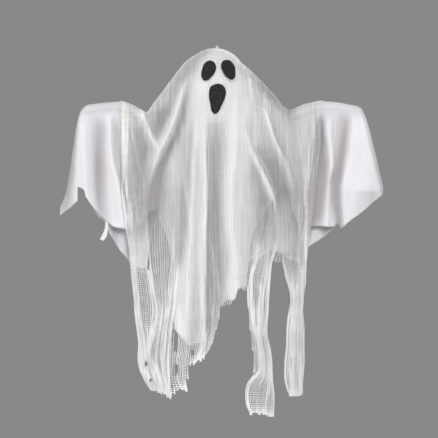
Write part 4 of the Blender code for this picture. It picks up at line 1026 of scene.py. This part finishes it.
def pleats(threads, rows, slope, low, settings, seed):
    """Rise of the outward pleats and the crumple that take up the threads' spare width."""
    wander = cell_noise(threads, rows, PLEAT_WANDER, seed)
    wander += low * cell_noise(threads, rows, TAIL_WANDER, seed)
    phase = (threads + wander) / settings.pleat_threads / 2.0
    wave = 1.0 - np.abs(2.0 * (phase - np.floor(phase)) - 1.0) * 2.0
    share = settings.pleat_share * (1.0 - low) + settings.tail_pleat_share * low
    crumple = CRUMPLE_HEIGHT * (1.0 + cell_noise(threads, rows, CRUMPLE, seed))
    pleat = share * slope * settings.pleat_threads / 2.0 * (1.0 + wave)
    return pleat + crumple * slope / settings.warp_pitch


def gauze_grid(guides, side, settings, seed):
    """Crossing points of the threads, laid on the gauze's surface, with normals and widths.

    Where warps stand closer than the cloth's own pitch, the spare width goes into outward
    pleats, whose slope between two warps is the root of pitch squared less spacing squared.
    A thread lies wider where the cloth is gathered, along ridges, and at the tails' edges and rims.
    """
    rng = np.random.default_rng(seed)
    x, z, threads, rows, ends = thread_places(guides, side, settings, seed, rng)
    y = gauze_depth(x, np.maximum(z, TAIL_START), side)
    y[:, 0] = 0.0
    slope = np.sqrt(np.maximum(settings.warp_pitch**2 - np.gradient(x, axis=0) ** 2, 0.0))
    low = ease((TAIL_START + TAIL_LEAD - z) / TAIL_BLEND)
    rope = bells(threads, ROPES)
    if side < 0:
        rope = rope + bells(threads, TAIL_ROLLS) * low
    off_face = 1.0 - face_mask(x, z, FACE_FLAT_WIDTH)
    out = ease(rows / PLEAT_ROWS) * off_face * (pleats(threads, rows, slope, low, settings, seed) + rope)
    normal = surface_normal(np.stack([x, side * y, z], axis=2), side)

    dense = sum(np.exp(-(((threads - middle) / DENSE_WIDTH) ** 4)) for middle in DENSE_THREADS)
    gather = np.maximum(LOOSE_SWELL + (1.0 - LOOSE_SWELL) * low, np.minimum(dense, 1.0))
    rim = RIM_SWELL * np.exp(-(((z - ends[:, None]) / RIM_HEIGHT) ** 2))
    rim = 1.0 + rim * (ends < TAIL_START - RIM_REACH)[:, None]
    ridge = np.clip(fold_rise(x, z, side_folds(side, own=True)) / DEEPEST, 0.0, 1.0)
    swell = (rim + bells(threads, TAIL_EDGES) * low + RIDGE_SWELL * ridge * off_face
             + settings.gather_swell * ease(2.0 * slope / settings.warp_pitch - 1.0) * gather)
    return np.stack([x, side * (y + out), z], axis=2), normal, swell, rim, ends, rng


def gauze_links(points, ends, rng, settings):
    """Which stretches of warp and weft are there: down to the torn hem, less tears and slits."""
    x, z = points[..., 0], points[..., 2]
    threads, rows = np.indices((len(x), x.shape[1] - 1))
    ragged = ends + cell_noise(threads[:, 0], rows[:, 0], RAGGED)
    whole = z >= ragged[:, None]
    tail = ragged - settings.fray * rng.uniform(SHORTEST_FRAY, 1.0, len(x))
    warp = z[:, 1:] >= tail[:, None]
    weft = whole[:-1] & whole[1:]
    weft &= rng.random(weft.shape) > LOST_WEFTS
    for low, high, start in TEARS:
        weft[low:high] &= z[low:high] > start
        warp[low + 1:high] &= z[low + 1:high, 1:] > start - settings.fray
    for cx, cz, half_x, half_z in SLITS:
        inside = ((x - cx) / half_x) ** 2 + ((z - cz) / half_z) ** 2 < 1.0
        weft &= ~(inside[:-1] | inside[1:])
        warp &= ~(inside[:, 1:] & (np.abs(x[:, 1:] - cx) < half_x * SLIT_CORE))
    broken = rng.random(len(x)) < BROKEN_WARPS
    warp &= ~(broken[:, None] & (cell_noise(threads, rows, BREAKS) > BREAK_LEVEL))
    return warp, weft


def gauze_shade_and_streaks(x, z, side):
    """Painted shade of the gauze from its folds and bands, with random streaks and level lines above the
    tails; in the tails the streaks are painted shade of the pleats, on a paler base, so they show more
    there.
    """
    streak = cell_noise(x, z, STREAKS)
    low = ease((TAIL_START + TONE_START - z) / TONE_BLEND)
    above = (STREAK_TONE * streak + LEVEL_TONE * cell_noise(x, z, LEVELS)) * (1.0 - low)
    return np.clip(painted_shade(x, z, side) + above + low * (TAIL_PAINTED_SHADE * np.abs(streak) - TAIL_PALE), 0.0, 1.0)


def weave_piece(name, grid, warp, weft, side, settings, finish):
    """Warp and weft tubes of one stretch, each over and under the other by turns.

    The grid holds the crossings, their normals, and the widths of warps and wefts there.
    """
    points, normal, swell, rim = grid
    threads, rows = np.indices(points.shape[:2])
    step = np.where((threads + rows) % 2 == 0, 1.0, -1.0)[..., None] * normal * settings.weave_height
    warp_width, weft_width = (settings.thread_width * wider[..., None] for wider in (swell, rim.T))
    a, quads_a, ends_a = thread_tubes(points + step, normal, warp, warp_width, settings.thread_height)
    b, quads_b, ends_b = thread_tubes((points - step).swapaxes(0, 1), normal.swapaxes(0, 1),
                                      weft.swapaxes(0, 1), weft_width, settings.thread_height)
    corners, faces = compact(np.vstack([a, b]), np.vstack([quads_a, quads_b + len(a)]),
                             np.vstack([ends_a, ends_b + len(a)]))
    piece = new_object(name, corners, faces, finish, smooth=False)
    # Painted shade and streaks for the gauze's colour
    add_painted_shade(piece, gauze_shade_and_streaks(corners[:, 0], corners[:, 2], side))
    return piece


def build_gauze(settings):
    """Front in a left and a right half, and the back, all from one set of threads."""
    finish = gauze_material(settings)
    cell = settings.warp_pitch * settings.weft_pitch
    made = []
    for side, guides, halves in GAUZE_PIECES:
        points, normal, swell, rim, ends, rng = gauze_grid(guides, side, settings, GAUZE_SEED + side)
        warp, weft = gauze_links(points, ends, rng, settings)
        for name, (first, last) in halves.items():
            rows = slice(first, last + 1)
            own = warp[rows].copy()
            own[-1] &= last == len(points) - 1
            across = weft[first:last]
            grid = [values[rows] for values in (points, normal, swell, rim)]
            piece = weave_piece(name, grid, own, across, side, settings, finish)
            used = int(np.nonzero(across.any(axis=0))[0].max())
            flat = ((last - first) * settings.warp_pitch, used * settings.weft_pitch)
            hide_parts("gauze_overlay")
            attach(piece, "root")
            made.append((piece, flat, float(across.sum() * cell)))
    pieces = [m[0] for m in made]
    return pieces


def build_patch(name, node, outline, settings, finish):
    """Felt patch: front and back discs of rings that meet in a rounded rim.

    The half thickness falls from the middle to the rim as the root of one less the eighth
    power of the ring's share, and the whole lies on the gauze.
    """
    segments, rings = PATCH_SEGMENTS, PATCH_RINGS
    edge = closed_line(outline, segments)
    rng = np.random.default_rng(PATCH_SEED)
    middle = edge.mean(axis=0)
    share = np.sin(np.linspace(0.0, np.pi / 2, rings + 1))[1:]
    flat = middle + share[:, None, None] * (edge - middle)[None]
    fuzz = 1.0 + PATCH_FUZZ * rng.uniform(-1, 1, segments)
    flat[-1] = middle + fuzz[:, None] * (edge - middle)
    full = settings.thickness / 2
    half = full * np.sqrt(np.maximum(1.0 - share**PATCH_POWER, 0.0))[:, None]
    x, z = flat[..., 0], flat[..., 1]
    lift = np.max([gauze_depth(x + step, z, -1) for step in PATCH_STEPS], axis=0)
    mid = lift + settings.stand + full + PATCH_RELIEF * rng.uniform(-1, 1, x.shape)
    centre_y = float(gauze_depth(middle[:1], middle[1:], -1)[0]) + settings.stand + full
    front = np.stack([x, -(mid + half), z], axis=2).reshape(-1, 3)
    back = np.stack([x, -(mid - half), z], axis=2)[:-1].reshape(-1, 3)
    points = np.vstack([[[middle[0], -(centre_y + full), middle[1]]], front,
                        [[middle[0], -(centre_y - full), middle[1]]], back])
    front_index = 1 + np.arange(rings * segments).reshape(rings, segments)
    back_index = 2 + rings * segments + np.arange((rings - 1) * segments).reshape(-1, segments)
    back_index = np.vstack([back_index, front_index[-1:]])

    def faces(index, centre, flip):
        beside = np.roll(index, -1, axis=1)
        wall = np.stack([index[:-1], beside[:-1], beside[1:], index[1:]], axis=2).reshape(-1, 4)
        fan = np.stack([np.full(segments, centre), beside[0], index[0]], axis=1)
        return (wall[:, ::-1].tolist() + fan[:, ::-1].tolist()) if flip else wall.tolist() + fan.tolist()

    flip = bool(np.cross(edge[1] - edge[0], middle - edge[0]) > 0.0)
    quads = faces(front_index, 0, flip) + faces(back_index, 1 + rings * segments, not flip)
    piece = new_object(name, points, quads, finish)
    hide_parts(node)
    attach(piece, "root")
    return piece


def build_knot(settings, finish):
    """Knot as one strand along a three-lobed loop, round section carried along it, with its stem."""
    turn = np.linspace(0.0, 2 * np.pi, KNOT_STEPS + 1)[:-1]
    path = np.stack([KNOT_SIZE * (np.sin(turn) + KNOT_LOBE * np.sin(2 * turn)),
                     KNOT_SIZE * (np.cos(turn) - KNOT_LOBE * np.cos(2 * turn)),
                     KNOT_MIDDLE + KNOT_SWING * np.sin(3 * turn)], axis=1)
    along = np.roll(path, -1, axis=0) - np.roll(path, 1, axis=0)
    along /= lengths(along)
    side = np.cross(along, (0.0, 0.0, 1.0))
    side /= lengths(side)
    up = np.cross(side, along)
    angle = np.arange(KNOT_SIDES) / KNOT_SIDES * 2 * np.pi
    ring = np.cos(angle)[None, :, None] * side[:, None] + np.sin(angle)[None, :, None] * up[:, None]
    points = (path[:, None] + STRAND_RADIUS * ring).reshape(-1, 3)
    index = np.arange(len(points)).reshape(KNOT_STEPS, KNOT_SIDES)
    levels = len(STEM_HEIGHTS)
    across = np.tile(STEM_RADIUS * np.stack([np.cos(angle), np.sin(angle)], axis=1), (levels, 1))
    stem = np.column_stack([across, np.repeat(STEM_HEIGHTS, KNOT_SIDES)])
    stem_index = len(points) + np.arange(len(stem)).reshape(levels, KNOT_SIDES)
    faces = grid_faces(index, wrap_rows=True, wrap_columns=True).tolist()
    faces += grid_faces(stem_index, wrap_columns=True).tolist()
    faces += [stem_index[0].tolist(), stem_index[-1][::-1].tolist()]
    piece = new_object("hanging_knot_strand", np.vstack([points, stem]), faces, finish)
    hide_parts("hanging_knot")
    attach(piece, "root")
    return piece


def finish_node(name, finish):
    """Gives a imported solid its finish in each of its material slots."""
    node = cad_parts[name]
    for place in node.material_slots:
        place.material = finish


def ray_switch(nodes, links):
    """Sum of camera, glossy and transmission rays, at most 1."""
    rays = nodes.new("ShaderNodeLightPath")
    first = nodes.new("ShaderNodeMath")
    second = nodes.new("ShaderNodeMath")
    second.use_clamp = True
    links.new(rays.outputs["Is Camera Ray"], first.inputs[0])
    links.new(rays.outputs["Is Glossy Ray"], first.inputs[1])
    links.new(first.outputs["Value"], second.inputs[0])
    links.new(rays.outputs["Is Transmission Ray"], second.inputs[1])
    return second.outputs["Value"]


def build_world(settings):
    """Backdrop tone for what the camera sees, and a soft fill light for the object."""
    world = bpy.data.worlds.new("studio")
    bpy.context.scene.world = world
    world.use_nodes = True
    nodes, links = world.node_tree.nodes, world.node_tree.links
    nodes.clear()
    seen, fill = nodes.new("ShaderNodeBackground"), nodes.new("ShaderNodeBackground")
    seen.inputs["Color"].default_value = (*settings.backdrop, 1.0)
    fill.inputs["Color"].default_value = (*settings.fill_colour, 1.0)
    fill.inputs["Strength"].default_value = settings.fill_strength
    mix, out = nodes.new("ShaderNodeMixShader"), nodes.new("ShaderNodeOutputWorld")
    links.new(ray_switch(nodes, links), mix.inputs["Fac"])
    links.new(fill.outputs["Background"], mix.inputs[1])
    links.new(seen.outputs["Background"], mix.inputs[2])
    links.new(mix.outputs["Shader"], out.inputs["Surface"])


def build_floor(settings):
    """Round floor: rings of points, whose colour fades outward into the backdrop's."""
    radius = np.geomspace(FLOOR_INNER, FLOOR_OUTER, FLOOR_RINGS)[:, None]
    angle = np.arange(FLOOR_SIDES) / FLOOR_SIDES * 2 * np.pi
    x, y = radius * np.cos(angle), radius * np.sin(angle)
    rings = np.stack([x, y, np.full_like(x, settings.floor_z)], axis=2).reshape(-1, 3)
    points = np.vstack([[[0.0, 0.0, settings.floor_z]], rings])
    index = 1 + np.arange(x.size).reshape(x.shape)
    faces = grid_faces(index, wrap_columns=True).tolist()
    faces += np.stack([np.zeros(FLOOR_SIDES, int), index[0], np.roll(index[0], -1)], axis=1).tolist()
    finish = Finish("floor_finish", settings.floor_colour, roughness=0.9)
    finish.tint(finish.noise(scale=60.0), shade(settings.floor_colour, 0.97), settings.floor_colour)
    nodes, links = finish.nodes, finish.links
    reach = nodes.new("ShaderNodeVectorMath")
    reach.operation = "LENGTH"
    links.new(finish.place.outputs["Object"], reach.inputs[0])
    fade = nodes.new("ShaderNodeMapRange")
    fade.interpolation_type = "SMOOTHSTEP"
    fade.inputs["From Min"].default_value = FLOOR_FADE[0]
    fade.inputs["From Max"].default_value = FLOOR_FADE[1]
    links.new(reach.outputs["Value"], fade.inputs["Value"])
    both = nodes.new("ShaderNodeMath")
    both.operation = "MULTIPLY"
    links.new(fade.outputs["Result"], both.inputs[0])
    links.new(ray_switch(nodes, links), both.inputs[1])
    glow, mix = nodes.new("ShaderNodeEmission"), nodes.new("ShaderNodeMixShader")
    glow.inputs["Color"].default_value = (*settings.backdrop, 1.0)
    links.new(both.outputs["Value"], mix.inputs["Fac"])
    links.new(finish.shader.outputs["BSDF"], mix.inputs[1])
    links.new(glow.outputs["Emission"], mix.inputs[2])
    links.new(mix.outputs["Shader"], nodes["Material Output"].inputs["Surface"])
    floor = new_object("floor", points, faces, finish.made, smooth=False)


def add_lamp(name, place, size, power, colour=WHITE):
    """Square area lamp at a place, turned to look at the ghost."""
    data = bpy.data.lights.new(name, "AREA")
    data.shape = "SQUARE"
    data.size = size
    data.energy = power
    data.color = colour
    lamp = bpy.data.objects.new(name, data)
    bpy.context.scene.collection.objects.link(lamp)
    lamp.location = place
    lamp.rotation_euler = (Vector(LAMP_AIM) - Vector(place)).to_track_quat("-Z", "Y").to_euler()


def build_camera(settings):
    """Level camera in front, framed so that one of 438 pixels is 1.66 mm at the ghost."""
    data = bpy.data.cameras.new("camera")
    data.sensor_width = SENSOR
    data.lens = SENSOR * settings.camera_distance / settings.view_width
    camera = bpy.data.objects.new("camera", data)
    bpy.context.scene.collection.objects.link(camera)
    camera.location = (VIEW_MIDDLE[0], -settings.camera_distance, VIEW_MIDDLE[1])
    camera.rotation_euler = (np.pi / 2, 0.0, 0.0)
    bpy.context.scene.camera = camera


def colour_property(name, text, value):
    """Colour setting with its name, description and default."""
    return FloatVectorProperty(name=name, description=text, default=value, size=3, subtype="COLOR",
                               min=0.0, max=1.0)


def length_property(name, text, value, precision=4):
    """Length setting with its name, description and default in metres."""
    return FloatProperty(name=name, description=text, default=value, unit="LENGTH", precision=precision)


class GhostSheetSettings(PropertyGroup):
    """Sizes and colour of the draped sheet."""
    colour: colour_property("Colour", "Base colour of the white cloth", (0.745, 0.745, 0.782))
    # Colour that the painted shade in the folds turns the cloth to
    painted_shade_colour: colour_property("Painted Shade Colour", "Colour of the painted shade in the cloth's folds",
                                   (0.37, 0.343, 0.353))
    thickness: length_property("Thickness", "Thickness of the cloth", 0.0006, precision=5)
    column_pitch: length_property("Column Pitch", "Step along the ridge between columns", 0.0026)
    round_rows: IntProperty(name="Round Rows", description="Rows that turn over the ridge", default=10)
    even_rows: IntProperty(name="Even Rows", description="Rows from the turn down to the hem", default=60)
    fray: length_property("Fray", "How far the torn hem wavers", 0.0012)
    weave_pitch: length_property("Weave Pitch", "Distance between threads", 0.0006, precision=5)
    cut_side: length_property("Cut Side", "Side of the square the sheet was cut from", 0.70)
    cut_area: FloatProperty(name="Cut Area", description="Area of the sheet with its torn edges",
                            default=0.32, unit="AREA")


class GhostGauzeSettings(PropertyGroup):
    """Sizes and colour of the gauze threads."""
    colour: colour_property("Colour", "Base colour of the cotton", (0.94, 0.935, 0.925))
    # Colour that the painted shade in the folds turns the cotton to
    painted_shade_colour: colour_property("Painted Shade Colour", "Colour of the painted shade in the cotton's folds",
                                   (0.42, 0.413, 0.416))
    thread_width: length_property("Thread Width", "Width of a thread seen from outside",
                                  0.00062, precision=5)
    thread_height: length_property("Thread Height", "Depth of a thread", 0.00075, precision=5)
    weave_height: length_property("Weave Height", "Half the step between over and under",
                                  0.0003, precision=5)
    warp_pitch: length_property("Warp Pitch", "Distance between warps in the flat cloth", 0.0024)
    weft_pitch: length_property("Weft Pitch", "Distance between wefts in the flat cloth", 0.0037)
    pleat_threads: FloatProperty(name="Pleat Threads", description="Warps on one side of a pleat",
                                 default=2.3)
    pleat_share: FloatProperty(name="Pleat Share", description="Share of the spare width that pleats take",
                               default=0.18, subtype="FACTOR")
    tail_pleat_share: FloatProperty(name="Tail Pleat Share", description="The same share in the tails",
                                    default=0.45, subtype="FACTOR")
    gather_swell: FloatProperty(name="Gather Swell", description="How much wider a gathered thread lies",
                                default=1.0, subtype="FACTOR")
    fray: length_property("Fray", "Longest loose end under the torn hem", 0.0045)


class GhostFaceSettings(PropertyGroup):
    """Sizes and colours of the felt patches."""
    colour: colour_property("Colour", "Base colour of the felt", (0.006, 0.005, 0.005))
    lint_colour: colour_property("Lint Colour", "Colour of the light fibres", (0.060, 0.055, 0.055))
    thickness: length_property("Thickness", "Thickness of the felt", 0.0013)
    stand: length_property("Stand", "Distance from the gauze's middle to the felt", 0.0009)


class GhostCoreSettings(PropertyGroup):
    """Colours of the foam, wire and thread."""
    foam_colour: colour_property("Foam Colour", "Base colour of the foam", (0.86, 0.85, 0.82))
    wire_colour: colour_property("Wire Colour", "Base colour of the wire", (0.55, 0.55, 0.56))
    thread_colour: colour_property("Thread Colour", "Base colour of the knot", (0.85, 0.84, 0.80))
    bead_size: length_property("Bead Size", "Width of one bead of the foam", 0.0032)


class GhostStageSettings(PropertyGroup):
    """Camera, lamps, backdrop and floor."""
    camera_distance: length_property("Camera Distance", "From the camera to the ghost", 4.5)
    view_width: length_property("View Width", "Width of the view at the ghost", 0.7271)
    backdrop: colour_property("Backdrop", "Colour behind the ghost", (0.250, 0.249, 0.247))
    fill_colour: colour_property("Fill Colour", "Colour of the light from all sides", (0.98, 0.98, 1.0))
    fill_strength: FloatProperty(name="Fill Strength", description="Level of the light from all sides",
                                 default=0.24)
    key_power: FloatProperty(name="Key Power", description="Power of the main lamp",
                             default=69.0, unit="POWER")
    back_power: FloatProperty(name="Back Power", description="Power of the lamp behind",
                              default=58.0, unit="POWER")
    side_power: FloatProperty(name="Side Power", description="Power of the side lamp",
                              default=18.0, unit="POWER")
    floor_colour: colour_property("Floor Colour", "Colour of the floor", (0.72, 0.715, 0.71))
    floor_z: length_property("Floor Height", "Height of the floor under the ghost", -0.74)


class GHOST_OT_stage(Operator):
    """Build the camera, lamps, backdrop and floor"""
    bl_idname = "ghost.stage"
    bl_label = "Stage"

    def execute(self, context):
        settings = context.scene.ghost_stage
        build_world(settings)
        build_floor(settings)
        build_camera(settings)
        add_lamp("key_lamp", KEY_PLACE, KEY_SIZE, settings.key_power, KEY_COLOUR)
        add_lamp("side_lamp", SIDE_PLACE, SIDE_SIZE, settings.side_power)
        add_lamp("back_lamp", BACK_PLACE, BACK_SIZE, settings.back_power)
        context.scene.view_settings.view_transform = "Standard"
        return {"FINISHED"}


class GHOST_OT_sheet(Operator):
    """Build the draped white sheet"""
    bl_idname = "ghost.sheet"
    bl_label = "Under Sheet"

    def execute(self, context):
        build_sheet(context.scene.ghost_sheet)
        return {"FINISHED"}


class GHOST_OT_gauze(Operator):
    """Build the woven gauze over the sheet"""
    bl_idname = "ghost.gauze"
    bl_label = "Gauze"

    def execute(self, context):
        build_gauze(context.scene.ghost_gauze)
        return {"FINISHED"}


class GHOST_OT_face(Operator):
    """Build the felt eyes and mouth"""
    bl_idname = "ghost.face"
    bl_label = "Face"

    def execute(self, context):
        settings = context.scene.ghost_face
        finish = felt_material(settings)
        for node, outline in (("left_eye", LEFT_EYE), ("right_eye", RIGHT_EYE), ("mouth", MOUTH)):
            build_patch(node + "_felt", node, outline, settings, finish)
        return {"FINISHED"}


class GHOST_OT_core(Operator):
    """Finish the foam ball, sleeves and wire, and build the knot"""
    bl_idname = "ghost.core"
    bl_label = "Core and Knot"

    def execute(self, context):
        settings = context.scene.ghost_core
        foam = foam_material(settings)
        for name in ("head_ball", "left_arm_sleeve", "right_arm_sleeve"):
            finish_node(name, foam)
        finish_node("arm_wire", wire_material(settings))
        build_knot(settings, thread_material(settings))
        return {"FINISHED"}


class GHOST_PT_panel(Panel):
    """Lists the ghost's pieces"""
    bl_label = "Hanging Ghost"
    bl_space_type = "VIEW_3D"
    bl_region_type = "UI"
    bl_category = "Ghost"

    def draw(self, context):
        column = self.layout.column()
        for step in OPERATORS:
            column.operator(step.bl_idname)


OPERATORS = (GHOST_OT_stage, GHOST_OT_core, GHOST_OT_sheet, GHOST_OT_gauze, GHOST_OT_face)
SETTINGS = {"ghost_sheet": GhostSheetSettings, "ghost_gauze": GhostGauzeSettings,
            "ghost_face": GhostFaceSettings, "ghost_core": GhostCoreSettings,
            "ghost_stage": GhostStageSettings}


def register():
    """Registers the classes and puts the settings on the scene."""
    for item in (*SETTINGS.values(), *OPERATORS, GHOST_PT_panel):
        bpy.utils.register_class(item)
    for name, group in SETTINGS.items():
        setattr(bpy.types.Scene, name, PointerProperty(type=group))


def unregister():
    """Takes the settings off the scene and unregisters the classes."""
    for name in SETTINGS:
        delattr(bpy.types.Scene, name)
    for item in reversed((*SETTINGS.values(), *OPERATORS, GHOST_PT_panel)):
        bpy.utils.unregister_class(item)


def main():
    register()
    bpy.ops.ghost.stage()
    bpy.ops.ghost.core()
    bpy.ops.ghost.sheet()
    bpy.ops.ghost.gauze()
    bpy.ops.ghost.face()
    bpy.context.view_layer.update()


if __name__ == "__main__":
    main()
